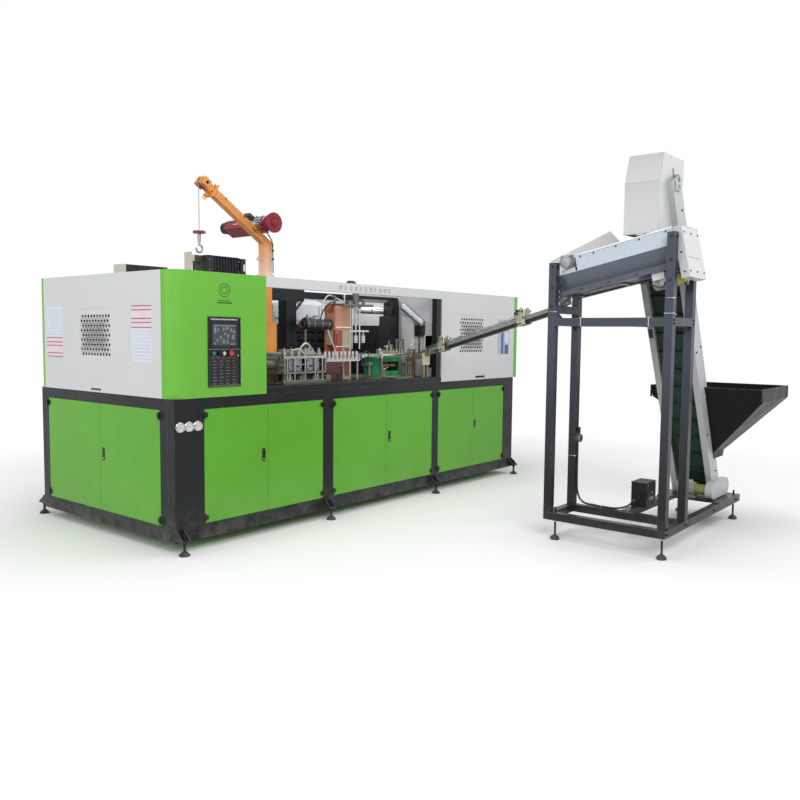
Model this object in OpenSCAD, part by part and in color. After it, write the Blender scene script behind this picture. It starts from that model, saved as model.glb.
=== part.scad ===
// Bottle blow moulding machine with its preform elevator, unscrambler, chute and mould crane.
// Millimetres, +Z up. The origin is the bottom centre of the near front levelling foot.

/* [Base frame] */
// Clear height under the base frame
ground_gap = 79; // [60:1:120]
// Height of the top of the base frame
frame_top = 1125; // [1050:1:1250]
// Width of the base frame, front to rear
frame_wid = 1914; // [1750:1:2100]
// Depth of the rails and posts behind the face
rail_d = 80; // [60:1:100]
// Height of the bottom rail
sill_h = 106; // [80:1:140]
// Height of the top rail
head_h = 83; // [60:1:120]
// Width of the front corner column that carries the gauges
post_w1 = 260; // [220:1:300]
// Width of the second front post
post_w2 = 124; // [80:1:160]
// Width of the third front post
post_w3 = 103; // [80:1:160]
// Width of the right end post
post_w4 = 206; // [160:1:260]
// Width of the first door bay
bay_w1 = 1242; // [1100:1:1400]
// Width of the second door bay
bay_w2 = 1436; // [1300:1:1600]
// Width of the third door bay
bay_w3 = 1252; // [1100:1:1400]
// Front strip of the left end
strip_f = 170; // [140:1:220]
// Rear strip of the left end
strip_r = 108; // [90:1:160]
// Thickness of the bed plate on the frame
bed_t = 50; // [30:1:60]
// Distance of the front feet out from the frame face
foot_out = 60; // [50:1:80]
// Distance of the rear feet out from the frame face
foot_out_r = 85; // [60:1:100]
// Distance of the first foot from the left end
foot_in = 37; // [30:1:60]
// Pad diameter of the levelling feet
foot_d = 80; // [60:1:100]

/* [Doors] */
// Gap round each door leaf
door_gap = 3; // [2:0.5:5]
// Depth of the folded door tray
door_t = 22; // [16:1:30]
// Sheet thickness of the doors
door_sheet = 2; // [1:0.5:3]
// Width of the recessed pull
pull_w = 30; // [24:1:40]
// Height of the recessed pull
pull_h = 96; // [80:1:120]
// Height of the middle of the pull over the floor
pull_z = 640; // [500:1:800]
// Distance from the free edge of the leaf to the middle of the pull
pull_in = 45; // [35:1:60]
// Length of the hinge knuckle on the leaf
knuckle_l = 34; // [24:1:50]
// Radius of the hinge knuckle
knuckle_r = 8; // [7:0.5:9]
// Radius of the hinge pin
hinge_pin_r = 4; // [3:0.5:5]
// Distance of the hinge axis in front of the door face
hinge_out = 9; // [9:0.5:12]

/* [Covers] */
// Height of the covers over the floor
body_h = 2050; // [1950:1:2200]
// Length of the left cabinet
cab_left_w = 865; // [800:1:950]
// Length of the open bay between the cabinets
bay_open_w = 2346; // [2200:1:2450]
// Depth of the cap on the right end
end_cap_d = 66; // [40:1:90]
// Sheet thickness of the covers
cover_t = 3; // [2:0.5:4]
// Radius of the rounded front left corner
corner_r = 120; // [80:1:140]
// Radius of the rear left corner
corner_r2 = 40; // [20:1:60]
// Height of the header over the bay
header_h = 83; // [60:1:110]
// Depth of the header
header_d = 60; // [40:1:80]
// Left edge of the left vent, from the front face
vent_l_y = 804; // [700:1:900]
// Width of the left vent
vent_l_w = 468; // [400:1:520]
// Bottom of the left vent
vent_l_z = 1400; // [1350:1:1450]
// Height of the left vent
vent_l_h = 390; // [340:1:420]
// Left edge of the right vent, from the left end
vent_r_x = 3523; // [3450:1:3600]
// Width of the right vent
vent_r_w = 460; // [400:1:520]
// Bottom of the right vent
vent_r_z = 1410; // [1350:1:1450]
// Height of the right vent
vent_r_h = 406; // [340:1:420]
// Diameter of the vent holes
vent_hole = 26; // [16:1:30]
// Pitch of the vent holes
vent_pitch = 43; // [38:1:60]

/* [Operator panel] */
// Distance of the panel from the left end
hmi_x = 299; // [250:1:340]
// Bottom of the panel over the floor
hmi_z = 1200; // [1150:1:1250]
// Width of the panel
hmi_w = 300; // [280:1:340]
// Height of the panel
hmi_h = 522; // [480:1:560]
// Height of the push button row over the floor
btn_z = 1450; // [1430:1:1455]
// Radius of the push button heads
btn_r = 14; // [11:0.5:16]
// Travel of the push buttons
btn_travel = 4; // [2:0.5:5]
// Diameter of the pressure gauges
gauge_d = 74; // [60:1:76]
// Height of the gauges over the floor
gauge_z = 923; // [860:1:960]

/* [Crane] */
// Radius of the crane column
crane_r = 100; // [80:1:105]
// Height of the top of the crane column
crane_col_top = 1702; // [1600:1:1800]
// Side of the square crane mast
mast_w = 82; // [70:1:90]
// Height of the boom pivot over the floor
mast_top = 2390; // [2300:1:2450]
// Level reach of the boom
boom_reach = 690; // [600:1:750]
// Rise of the boom
boom_rise = 440; // [380:1:480]
// Side of the square boom
boom_w = 64; // [50:1:76]
// Radius of the boom sheave
sheave_r = 44; // [38:1:48]
// Radius of the lifting rope
rope_r = 3; // [2:0.5:4]
// Lowest point of the hook at rest
hook_z = 2240; // [2220:1:2260]

/* [Blow station] */
// Length of the clamp station
clamp_l = 500; // [460:1:540]
// Depth of the clamp station
clamp_d = 280; // [240:1:290]
// Gap between the open mould halves
mould_gap = 60; // [40:1:80]
// Length of each mould half
mould_l = 150; // [120:1:160]
// Radius of the guide bars
guide_r = 10; // [8:1:12]
// Radius of the clamp ram rods
ram_r = 15; // [12:1:18]
// Radius of the stretch guide rods
srod_r = 9; // [7:1:11]
// Travel of the stretch carriage
stretch_travel = 120; // [80:5:130]

/* [Feed station] */
// Radius of the star wheel
star_r = 175; // [150:1:190]
// Number of pockets in the star wheel
star_n = 14; // [8:1:18]
// Height of the middle of the star wheel
star_z = 1300; // [1280:1:1320]
// Radius of the base plate
plate_r = 360; // [320:1:365]
// Radius of the curved guard
guard_r = 212; // [200:1:230]
// Height of the feed table top
table_z = 1410; // [1395:1:1425]

/* [Loader tower] */
// Side of the tower tubes
tube = 60; // [50:1:70]
// Underside of the tower base
tower_z = 154; // [120:1:180]
// Level distance from the left end of the machine to the tower
tower_x = 2210; // [2100:1:2300]
// Distance of the tower base out from the machine front
tower_out = 1753; // [1650:1:1850]
// Width of the tower
tower_wid = 980; // [940:1:1020]
// Spacing of the two rows of posts
post_row = 400; // [380:1:420]
// Length of the tower base
tower_len = 1804; // [1750:1:1850]
// Top of the near posts
post_hi = 2337; // [2310:1:2360]
// Top of the far posts
post_lo = 2165; // [2140:1:2180]
// Underside of the mid rails
mid_z = 1683; // [1600:1:1750]
// Slope of the unscrambler trough
trough_tilt = 12; // [10:0.5:13]
// Rise of the trough rail at the low end
trough_z = 1898; // [1890:1:1910]
// Width over the trough walls
trough_w = 330; // [320:1:336]
// Radius of the sorting rollers
roller_r = 40; // [34:1:42]
// Gap between the sorting rollers
roller_gap = 26; // [22:1:34]
// Radius of the roller shafts
shaft_r = 12.5; // [10:0.5:15]

/* [Elevator] */
// Lean of the elevator from upright
elev_tilt = 26.3; // [24:0.1:28]
// Level place of the foot drum, from the left end
elev_x = 3766; // [3700:1:3800]
// Height of the foot drum
elev_z = 300; // [290:1:310]
// Width over the side channels
elev_w = 360; // [340:1:380]
// Depth of the side channels
chan_d = 170; // [150:1:190]
// Lip of the side channels
chan_lip = 50; // [40:1:55]
// Distance between the drums
elev_len = 2690; // [2600:1:2720]
// Radius of the drums
drum_r = 42; // [36:0.5:44]
// Thickness of the belt
belt_t = 6; // [4:0.5:8]
// Height of the belt cleats
cleat_h = 28; // [20:1:30]
// Pitch of the belt cleats
cleat_pitch = 165; // [120:1:240]
// Height of the hopper rim
rim_z = 1190; // [1150:1:1220]
// Height of the upright lip of the hopper
lip_h = 100; // [80:1:120]
// Thickness of the hopper sheet
hop_t = 3; // [2:0.5:5]

/* [Hidden] */
fit = 0.3;
run = 0.06;
body_len = post_w1 + bay_w1 + post_w2 + bay_w2 + post_w3 + bay_w3 + post_w4;
frame_h = frame_top - ground_gap;
door_z0 = ground_gap + sill_h;
door_z1 = frame_top - head_h;
bay_x = [post_w1, post_w1 + bay_w1 + post_w2, post_w1 + bay_w1 + post_w2 + bay_w2 + post_w3];
bay_w = [bay_w1, bay_w2, bay_w3];
end_open = frame_wid - strip_f - strip_r;
leaf_h = door_z1 - door_z0 - 2 * door_gap;
bed_z = frame_top + bed_t;
right_x = cab_left_w + bay_open_w;
portal_x = 1582;
portal_gap = 29;
rear_x = 1900;
rear_gap = 21;
end_bar_w = 68;
end_bar_gap = 15;
duct_wall = 40;
duct_x = 2660;
duct_in = 38;
post_step = 120;
cover_h = body_h - frame_top;
seam_f = corner_r + 23;
seam_r = corner_r2 + 24;
foot_x = [foot_in, bay_x[1] - post_w2 / 2 - 21, bay_x[2] - post_w3 / 2 - 48, body_len - 43];
stem_r = 10;
lug_z = ground_gap + 20;
lug_t = 12;
knuckle_z = [24, leaf_h - 24 - knuckle_l];
hinge_arm = 12;
// operator panel
btn_x = [hmi_x + 44, hmi_x + 95, hmi_x + 140, hmi_x + 199];
panel_t = 6;
stem_b = 8;
gauge_x0 = 49;
gauge_pitch = 76.5;
// crane
crane_x = 1335;
crane_y = 550;
pin_r = 30;
boom_a = atan(boom_rise / boom_reach);
boom_len = sqrt(boom_reach * boom_reach + boom_rise * boom_rise);
sheave_s = (boom_reach - 39) / cos(boom_a);
sheave_px = -sheave_s * cos(boom_a);
sheave_pz = mast_top + sheave_s * sin(boom_a);
axle_r = 8;
hoist_n = boom_w / 2 + 58;
hoist_s = 140;
rope_top = sheave_pz;
rope_bot = hook_z + 178;
// blow station
st_x = 1190;
st_y = 150;
st_h = 235;
low_z = bed_z + 87;
up_z = bed_z + st_h - 18;
mid_mould = (low_z + 18 + up_z) / 2;
mould_h = up_z - low_z - 18 - 12;
cav_r = 22;
// stretch unit
su_x = 2040;
su_y = 450;
su_top = 1870;
carr_z = 1625;
cup_x = [su_x + 250, su_x + 360, su_x + 470];
srod_x = [su_x + 305, su_x + 415];
// feed station
star_x = 2710;
star_y = 420;
// chute
ch_x = 2500;
ch_y = -1780;
ch_z = 1845;
ch_yaw = 15.5;
ch_tilt = 12.67;
ch_len = 2110;
beam_w = 40;
beam_h = 30;
// tower, measured in its own corner frame
ty = -tower_out;
post_xy = [[0, -tower_wid], [0, -tube], [post_row, -tower_wid], [post_row, -tube]];
post_z = [post_hi, post_lo, post_hi - 37, post_lo - 55];
base_top = tower_z + tube;
elev_gap = 73;
elev_y = -tower_wid + tube + elev_gap;
rail2_y = elev_y + elev_w - 20;
plate_z = base_top + 8;
trough_run = tower_wid - 2 * tube;
trough_len = trough_run / cos(trough_tilt) + 70;
t_mid = (post_row + tube) / 2;
ax_x = [t_mid - roller_r - roller_gap / 2, t_mid + roller_r + roller_gap / 2];
ax_z = 110;
stem_t = 8;
// elevator
chan_t = 4;
head_x = elev_x - elev_len * sin(elev_tilt);
head_z = elev_z + elev_len * cos(elev_tilt);
belt_in = drum_r + fit;
belt_out = belt_in + belt_t;
belt_y0 = chan_lip + 5;
belt_w = elev_w - 2 * belt_y0;
hood_w = elev_w - 2 * chan_lip;
hood_low = 2360;
hood_back = 224.1385;
hood_rise = 23.4515;
hood_x = head_x - hood_back;
hood_z = head_z + hood_rise;
chan_over = 105;
hop_x0 = 3350;
hop_x1 = 4170;
hop_y0 = -3050;
hop_y1 = -2146;
hop_bot = 560;
hop_neck = 610;

module at_body() translate([-foot_in, foot_out, 0]) children();
module at_tower() at_body() translate([tower_x, ty, 0]) children();
module at_elev() at_body() translate([elev_x, ty + elev_y, elev_z]) rotate([0, -elev_tilt, 0]) children();
module at_trough() at_body() translate([tower_x, ty - tube, trough_z]) rotate([-trough_tilt, 0, 0]) children();
module at_chute() at_body() translate([ch_x, ch_y, ch_z]) rotate([0, 0, -ch_yaw]) rotate([-ch_tilt, 0, 0]) children();
module at_crane() at_body() translate([crane_x, crane_y, 0]) children();
module at_boom() at_crane() translate([0, 0, mast_top]) rotate([0, boom_a, 0]) mirror([1, 0, 0]) children();

// bar between z heights with a square section
module bar(x, y, z0, w, d, z1) translate([x, y, z0]) cube([w, d, z1 - z0]);

// upright slot outline with round ends
module stadium(w, h) {
  translate([-w / 2, -(h - w) / 2]) square([w, h - w]);
  translate([0, (h - w) / 2]) circle(d = w, $fn = 48);
  translate([0, -(h - w) / 2]) circle(d = w, $fn = 48);
}

// level slot outline with round ends
module level_slot(l, r) {
  translate([0, -r]) square([l, 2 * r]);
  circle(r, $fn = 64);
  translate([l, 0]) circle(r, $fn = 64);
}

// rectangle with the corner at its origin rounded
module round_sq(w, d, r) difference() {
  square([w, d]);
  difference() {
    translate([-1, -1]) square([r + 1, r + 1]);
    translate([r, r]) circle(r, $fn = 128);
  }
}

module face_grid() difference() {
  cube([body_len, rail_d, frame_h]);
  for (i = [0:2]) translate([bay_x[i], -1, sill_h]) cube([bay_w[i], rail_d + 2, frame_h - sill_h - head_h]);
}

// welded lug that carries a levelling foot, face of the frame at y = 0
module foot_lug(out) difference() {
  union() {
    translate([-35, -out - 26, lug_z]) cube([70, out + 26.01, lug_t]);
    for (s = [-35, 27]) translate([s, 0, 0]) rotate([90, 0, 90]) linear_extrude(8)
      polygon([[0.01, lug_z], [-out - 26, lug_z], [-out - 26, lug_z + lug_t], [-12, lug_z + 78], [0.01, lug_z + 78]]);
  }
  translate([0, -out, 0]) cylinder(r = stem_r + 0.5, h = 400, $fn = 48);
}

module frame_front() color([0.11, 0.13, 0.14]) at_body() {
  translate([0, 0, ground_gap]) face_grid();
  for (x = foot_x) translate([x, 0, 0]) foot_lug(foot_out);
}

module frame_rear() color([0.11, 0.13, 0.14]) at_body() {
  translate([0, frame_wid - rail_d, ground_gap]) face_grid();
  for (x = foot_x) translate([x, frame_wid, 0]) mirror([0, 1, 0]) foot_lug(foot_out_r);
}

module end_grid() difference() {
  cube([rail_d, frame_wid - 2 * rail_d, frame_h]);
  translate([-1, strip_f - rail_d, sill_h]) cube([rail_d + 2, end_open, frame_h - sill_h - head_h]);
}

module frame_ends() color([0.11, 0.13, 0.14]) at_body() {
  translate([0, rail_d, ground_gap]) end_grid();
  translate([body_len - rail_d, rail_d, ground_gap]) end_grid();
  for (i = [1, 2]) {
    cx = i == 1 ? bay_x[1] - post_w2 / 2 : bay_x[2] - post_w3 / 2;
    translate([cx - 30, rail_d, ground_gap]) cube([60, frame_wid - 2 * rail_d, sill_h]);
    translate([cx - 30, rail_d, door_z1]) cube([60, frame_wid - 2 * rail_d, head_h]);
  }
}

module corner_cut(r, g) difference() {
  translate([-1, -1]) square([r + 1, r + 1]);
  translate([r, r]) circle(r - g, $fn = 128);
}

module bed() color([0.12, 0.14, 0.15]) at_body() translate([0, 0, frame_top]) linear_extrude(bed_t)
  difference() {
    translate([cover_t + 2, cover_t + 2]) square([body_len - 2 * cover_t - 4, frame_wid - 2 * cover_t - 4]);
    corner_cut(corner_r, 7);
    translate([0, frame_wid]) mirror([0, 1]) corner_cut(corner_r2, 7);
  }

// folded tray, outer face at y = 0
module tray(w, h) difference() {
  cube([w, door_t, h]);
  translate([door_sheet, door_sheet, door_sheet]) cube([w - 2 * door_sheet, door_t, h - 2 * door_sheet]);
}

module panels() color([0.42, 0.71, 0.26]) at_body() {
  for (i = [0:2]) translate([bay_x[i] + bay_w[i] - fit, frame_wid, door_z0 + fit]) rotate([0, 0, 180])
    tray(bay_w[i] - 2 * fit, door_z1 - door_z0 - 2 * fit);
  translate([body_len, strip_f + fit, door_z0 + fit]) rotate([0, 0, 90])
    tray(end_open - 2 * fit, door_z1 - door_z0 - 2 * fit);
  translate([10, 10, ground_gap - 3]) cube([body_len - 20, frame_wid - 20, 3]);
}

module leaf(w, pull) {
  lw = w - 1.5 * door_gap;
  px = door_gap + lw - pull_in;
  pz = pull_z - door_z0 - door_gap;
  difference() {
    union() {
      translate([door_gap, 0, 0]) tray(lw, leaf_h);
      if (pull) translate([px, 0.01, pz]) rotate([-90, 0, 0]) linear_extrude(18) stadium(pull_w + 4, pull_h + 4);
      for (z = knuckle_z) translate([0, 0, z]) {
        translate([0, -hinge_out, 0]) cylinder(r = knuckle_r, h = knuckle_l, $fn = 48);
        translate([0, -5, 0]) cube([33, 5.01, knuckle_l]);
      }
    }
    if (pull) translate([px, -1, pz]) rotate([-90, 0, 0]) linear_extrude(17) stadium(pull_w, pull_h);
    for (z = knuckle_z) translate([0, -hinge_out, z - 1]) cylinder(r = hinge_pin_r + run, h = knuckle_l + 2, $fn = 48);
  }
}

// fixed half of a hinge with its pin
module hinge_fixed() for (z = knuckle_z) translate([0, 0, z]) {
  for (s = [-hinge_arm - fit, knuckle_l + fit]) {
    translate([0, -hinge_out, s]) cylinder(r = knuckle_r, h = hinge_arm, $fn = 48);
    translate([-33, -5, s]) cube([33, 5, hinge_arm]);
  }
  translate([0, -hinge_out, -hinge_arm]) cylinder(r = hinge_pin_r, h = knuckle_l + 2 * hinge_arm, $fn = 48);
  translate([-33, -5, -hinge_arm]) cube([33 - knuckle_r - 1, 5, knuckle_l + 2 * hinge_arm]);
}

module front_place(b, right) translate([right ? bay_x[b] + bay_w[b] : bay_x[b], 0, door_z0 + door_gap]) {
  if (right) mirror([1, 0, 0]) children();
  else children();
}

module end_place(rear) translate([0, rear ? frame_wid - strip_r : strip_f, door_z0 + door_gap]) mirror([1, -1, 0]) {
  if (rear) mirror([1, 0, 0]) children();
  else children();
}

module front_door(b, right, pull) color([0.42, 0.71, 0.26]) at_body() front_place(b, right) leaf(bay_w[b] / 2, pull);
module end_door(rear, pull) color([0.42, 0.71, 0.26]) at_body() end_place(rear) leaf(end_open / 2, pull);
module door_a1() front_door(0, false, true);
module door_a2() front_door(0, true, false);
module door_b1() front_door(1, false, false);
module door_b2() front_door(1, true, true);
module door_c1() front_door(2, false, false);
module door_c2() front_door(2, true, true);
module door_e1() end_door(false, true);
module door_e2() end_door(true, false);

module hinges() color([0.09, 0.10, 0.11]) at_body() {
  for (b = [0:2]) for (r = [false, true]) front_place(b, r) hinge_fixed();
  for (r = [false, true]) end_place(r) hinge_fixed();
}

module pad_foot(lug, top) {
  cylinder(r = foot_d / 2, h = 10, $fn = 64);
  translate([0, 0, 10]) cylinder(r1 = foot_d / 2, r2 = 15, h = 22, $fn = 64);
  cylinder(r = stem_r, h = top, $fn = 48);
  translate([0, 0, lug - 15]) cylinder(r = 17, h = 15, $fn = 6);
  translate([0, 0, lug + lug_t]) cylinder(r = 17, h = 15, $fn = 6);
}

module bell_foot(top) {
  rotate_extrude($fn = 64) polygon([[0, 0], [34, 0], [36, 4], [36, 12], [30, 24], [14, 34], [9, 40], [stem_t, 46], [stem_t, top], [0, top]]);
  translate([0, 0, tower_z - 12]) cylinder(r = 14, h = 12, $fn = 6);
}

module levelling_feet() color([0.10, 0.10, 0.11]) {
  at_body() for (x = foot_x) {
    translate([x, -foot_out, 0]) pad_foot(lug_z, lug_z + 62);
    translate([x, frame_wid + foot_out_r, 0]) pad_foot(lug_z, lug_z + 62);
  }
  at_tower() {
    translate([tube / 2, -tower_wid + tube / 2, 0]) bell_foot(tower_z + tube - 4);
    translate([tube / 2, -tube - 32, 0]) bell_foot(base_top + 44);
    translate([tower_len - tube - 27, -tower_wid + tube / 2, 0]) bell_foot(base_top + 44);
    translate([tower_len - tube - 27, rail2_y + tube / 2, 0]) bell_foot(base_top + 44);
  }
}

// covers
module wrap(w, d, r) linear_extrude(cover_h) difference() {
  round_sq(w, d, r);
  translate([cover_t, cover_t]) round_sq(w, d, r - cover_t);
}

module green_covers() color([0.46, 0.76, 0.29]) at_body() {
  difference() {
    translate([0, 0, frame_top]) wrap(cab_left_w, seam_f, corner_r);
    translate([hmi_x + 20, -1, hmi_z + 20]) cube([hmi_w - 40, 10, hmi_h - 40]);
  }
  translate([0, frame_wid, frame_top]) mirror([0, 1, 0]) wrap(cab_left_w, seam_r, corner_r2);
  difference() {
    translate([body_len, 0, frame_top]) cube([end_cap_d, frame_wid, cover_h]);
    translate([body_len - 1, cover_t, frame_top + cover_t])
      cube([end_cap_d + 1 - cover_t, frame_wid - 2 * cover_t, cover_h - 2 * cover_t]);
  }
}

module cover_end_left() color([0.88, 0.89, 0.89]) at_body() difference() {
  translate([0, seam_f, frame_top]) cube([cover_t, frame_wid - seam_f - seam_r, cover_h]);
  translate([-1, vent_l_y, vent_l_z]) cube([10, vent_l_w, vent_l_h]);
  translate([-1, vent_l_y + 159, 1145]) cube([10, 150, 10]);
}

module cover_front_right() color([0.88, 0.89, 0.89]) at_body() difference() {
  translate([right_x, 0, frame_top]) cube([body_len - right_x, cover_t, cover_h]);
  translate([vent_r_x, -1, vent_r_z]) cube([vent_r_w, 10, vent_r_h]);
}

// perforated sheet behind an opening
module vent(w, h) difference() {
  translate([-12, 0, -12]) cube([w + 24, 2, h + 24]);
  for (j = [0:floor((h - 20) / (vent_pitch * 0.87)) - 1], i = [0:floor((w - 30) / vent_pitch) - 1])
    translate([30 + (i + (j % 2) / 2) * vent_pitch, -1, 26 + j * vent_pitch * 0.87]) rotate([-90, 0, 0])
      cylinder(r = vent_hole / 2, h = 4, $fn = 16);
}

module vents() color([0.80, 0.81, 0.81]) at_body() {
  translate([cover_t, vent_l_y, vent_l_z]) mirror([1, -1, 0]) vent(vent_l_w, vent_l_h);
  translate([vent_r_x, cover_t, vent_r_z]) vent(vent_r_w, vent_r_h);
}

module cabinet_shells() color([0.82, 0.83, 0.83]) at_body() {
  translate([0, 0, body_h - cover_t]) linear_extrude(cover_t) difference() {
    translate([cover_t, cover_t]) square([cab_left_w - cover_t, frame_wid - 2 * cover_t]);
    corner_cut(corner_r, cover_t + fit);
    translate([0, frame_wid]) mirror([0, 1]) corner_cut(corner_r2, cover_t + fit);
  }
  translate([cab_left_w - cover_t, cover_t, bed_z]) cube([cover_t, frame_wid - 2 * cover_t, body_h - cover_t - bed_z]);
  translate([right_x, cover_t, body_h - cover_t]) cube([body_len - right_x, frame_wid - 2 * cover_t, cover_t]);
  difference() {
    translate([right_x, cover_t, bed_z]) cube([cover_t, frame_wid - 2 * cover_t, body_h - cover_t - bed_z]);
    translate([right_x - 1, 90, bed_z + 90]) cube([10, 120, 330]);
  }
  translate([right_x, frame_wid - cover_t, frame_top]) cube([body_len - right_x, cover_t, cover_h]);
}

module header() difference() {
  cube([bay_open_w, header_d, header_h]);
  translate([-1, cover_t, cover_t]) cube([bay_open_w + 2, header_d, header_h - 2 * cover_t]);
}

module headers() color([0.88, 0.89, 0.89]) at_body() translate([cab_left_w, 0, body_h - header_h]) {
  header();
  translate([0, frame_wid, 0]) mirror([0, 1, 0]) header();
}

// operator panel
module gauges() color([0.75, 0.77, 0.78]) at_body() for (i = [0:2])
  translate([gauge_x0 + i * gauge_pitch, 0, gauge_z]) rotate([90, 0, 0]) difference() {
    union() {
      cylinder(r = gauge_d / 2, h = 4, $fn = 64);
      cylinder(r = gauge_d / 2 - 4, h = 20, $fn = 64);
    }
    translate([0, 0, 15]) cylinder(r = gauge_d / 2 - 8, h = 9, $fn = 64);
  }

module ctl(i, out) at_body() translate([btn_x[i], -panel_t - out, btn_z]) rotate([90, 0, 0]) children();

module hmi_panel() color([0.10, 0.11, 0.12]) difference() {
  union() {
    at_body() translate([hmi_x, -panel_t, hmi_z]) cube([hmi_w, panel_t, hmi_h]);
    at_body() translate([hmi_x + 22, -panel_t - 5, hmi_z + hmi_h - 232]) difference() {
      cube([hmi_w - 44, 5.01, 196]);
      translate([18, -1, 18]) cube([hmi_w - 80, 4, 160]);
    }
    at_body() for (i = [0:3], j = [0:7])
      translate([hmi_x + 34 + i * 60, -panel_t - 2, hmi_z + 18 + j * 24]) cube([46, 2.01, 12]);
    for (i = [0, 2]) ctl(i, -0.01) difference() {
      cylinder(r = btn_r + 4, h = 8, $fn = 48);
      translate([0, 0, -1]) cylinder(r = btn_r + 0.5, h = 12, $fn = 48);
    }
    ctl(1, -0.01) cylinder(r = btn_r + 3, h = 5, $fn = 48);
    ctl(3, -0.01) cylinder(r = btn_r + 2, h = 5, $fn = 48);
  }
  for (i = [0:3]) ctl(i, -20) cylinder(r = stem_b + run, h = 40, $fn = 48);
}

module push_button(i) ctl(i, 0) {
  translate([0, 0, btn_travel + 1]) cylinder(r = btn_r, h = 9, $fn = 48);
  translate([0, 0, -panel_t - 8]) cylinder(r = stem_b, h = panel_t + 8 + btn_travel + 2, $fn = 48);
}

module btn_start() color([0.10, 0.60, 0.25]) push_button(0);
module btn_reset() color([0.85, 0.86, 0.84]) push_button(2);
module btn_stop() color([0.80, 0.10, 0.12]) ctl(3, 5) {
  translate([0, 0, btn_travel + 1]) cylinder(r = btn_r - 2, h = 6, $fn = 48);
  translate([0, 0, btn_travel + 6]) cylinder(r = btn_r + 7, h = 9, $fn = 64);
  translate([0, 0, -panel_t - 13]) cylinder(r = stem_b, h = panel_t + btn_travel + 15, $fn = 48);
}

module selector() color([0.12, 0.12, 0.13]) ctl(1, 5) {
  translate([0, 0, fit]) cylinder(r = btn_r, h = 5, $fn = 48);
  translate([-4, -btn_r + 1, fit]) cube([8, 2 * btn_r - 2, 15]);
  translate([0, 0, -panel_t - 13]) cylinder(r = stem_b, h = panel_t + 14, $fn = 48);
}

module roof_units() color([0.14, 0.15, 0.17]) at_body() translate([0, 0, body_h]) {
  translate([300, 1150, 0]) cube([450, 100, 110]);
  translate([360, 280, 0]) cube([100, 80, 12]);
  translate([360, 280, 0]) cube([12, 80, 165]);
  translate([360, 285, 95]) cube([100, 70, 50]);
  translate([460, 200, 0]) cube([370, 200, 22]);
  translate([460, 205, 22]) cube([60, 190, 123]);
  for (i = [0:8]) translate([530 + i * 28, 210, 22]) cube([10, 180, 118]);
  translate([520, 220, 22]) cube([250, 160, 108]);
  translate([780, 205, 22]) cube([50, 190, 118]);
}

// crane
module crane_column() color([0.92, 0.63, 0.35]) at_crane() difference() {
  union() {
    translate([0, 0, bed_z]) cylinder(r = crane_r + 12, h = 16, $fn = 96);
    translate([0, 0, bed_z]) cylinder(r = crane_r, h = crane_col_top - bed_z, $fn = 96);
  }
  translate([0, 0, crane_col_top - 200]) cylinder(r = pin_r + run, h = 201, $fn = 64);
}

module crane_mast() color([0.92, 0.63, 0.35]) {
  at_crane() {
    translate([0, 0, crane_col_top - 190]) cylinder(r = pin_r, h = 200, $fn = 64);
    translate([-mast_w / 2, -mast_w / 2, crane_col_top + fit]) cube([mast_w, mast_w, mast_top - crane_col_top]);
    translate([-mast_w / 2 - 12, -mast_w / 2 - 12, 2092]) cube([mast_w + 24, mast_w + 24, 26]);
    translate([mast_w / 2 - 0.01, -14, 2230]) cube([14, 28, 130]);
  }
  at_boom() difference() {
    translate([-66, -boom_w / 2, -boom_w / 2]) cube([boom_len + 66, boom_w, boom_w]);
    translate([sheave_s - 64, -11, -50]) cube([200, 22, 100]);
  }
  at_boom() translate([sheave_s, 0, 0]) rotate([90, 0, 0]) cylinder(r = axle_r, h = boom_w + 12, center = true, $fn = 48);
}

module sheave() color([0.30, 0.31, 0.33]) at_boom() translate([sheave_s, 0, 0]) rotate([90, 0, 0])
  rotate_extrude($fn = 96) polygon([[axle_r + run, -9], [sheave_r + 6, -9], [sheave_r + 6, -7],
    [sheave_r - rope_r - fit, -4], [sheave_r - rope_r - fit, 4], [sheave_r + 6, 7], [sheave_r + 6, 9], [axle_r + run, 9]]);

module rope() color([0.35, 0.36, 0.38]) at_crane()
  translate([sheave_px - sheave_r, 0, rope_bot]) cylinder(r = rope_r, h = rope_top - rope_bot, $fn = 24);

module hook() color([0.72, 0.12, 0.14]) at_crane() translate([sheave_px - sheave_r, 0, hook_z]) {
  translate([0, 0, 160]) cylinder(r = 50, h = 18, $fn = 64);
  translate([0, 0, 92]) cylinder(r = 14, h = 68.01, $fn = 48);
  translate([0, 0, 66]) cylinder(r = 9, h = 27, $fn = 32);
  translate([0, 0, 38]) rotate([90, 0, 0]) rotate([0, 0, -190]) rotate_extrude(angle = 280, $fn = 48)
    translate([30, 0]) circle(r = 8, $fn = 24);
}

module hoist() color([0.60, 0.16, 0.20]) {
  hs = hoist_s;
  at_boom() {
    translate([hs, 0, hoist_n]) rotate([90, 0, 0]) {
      translate([0, 0, 185]) cylinder(r = 85, h = 16, $fn = 64);
      translate([0, 0, 95]) cylinder(r = 62, h = 90, $fn = 64);
      translate([0, 0, 85]) cylinder(r = 74, h = 10, $fn = 64);
      translate([0, 0, -90]) cylinder(r = 48, h = 176, $fn = 64);
      translate([0, 0, -100]) cylinder(r = 74, h = 10, $fn = 64);
      translate([0, 0, -420]) cylinder(r = 58, h = 320, $fn = 64);
      translate([0, 0, -470]) cylinder(r = 50, h = 50, $fn = 64);
    }
    translate([hs - 62, 110, hoist_n - 66]) cube([124, 270, 90]);
    translate([hs - 55, -110, boom_w / 2]) cube([110, 220, 8]);
    for (y = [-110, 100]) translate([hs - 40, y, boom_w / 2]) cube([80, 10, 90]);
    translate([hs - 12, -9, sheave_r - 12]) cube([24, 18, 30]);
    translate([hs + 11, 0, sheave_r]) rotate([0, 90, 0]) cylinder(r = rope_r, h = sheave_s - hs - 11, $fn = 24);
  }
}

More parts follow.
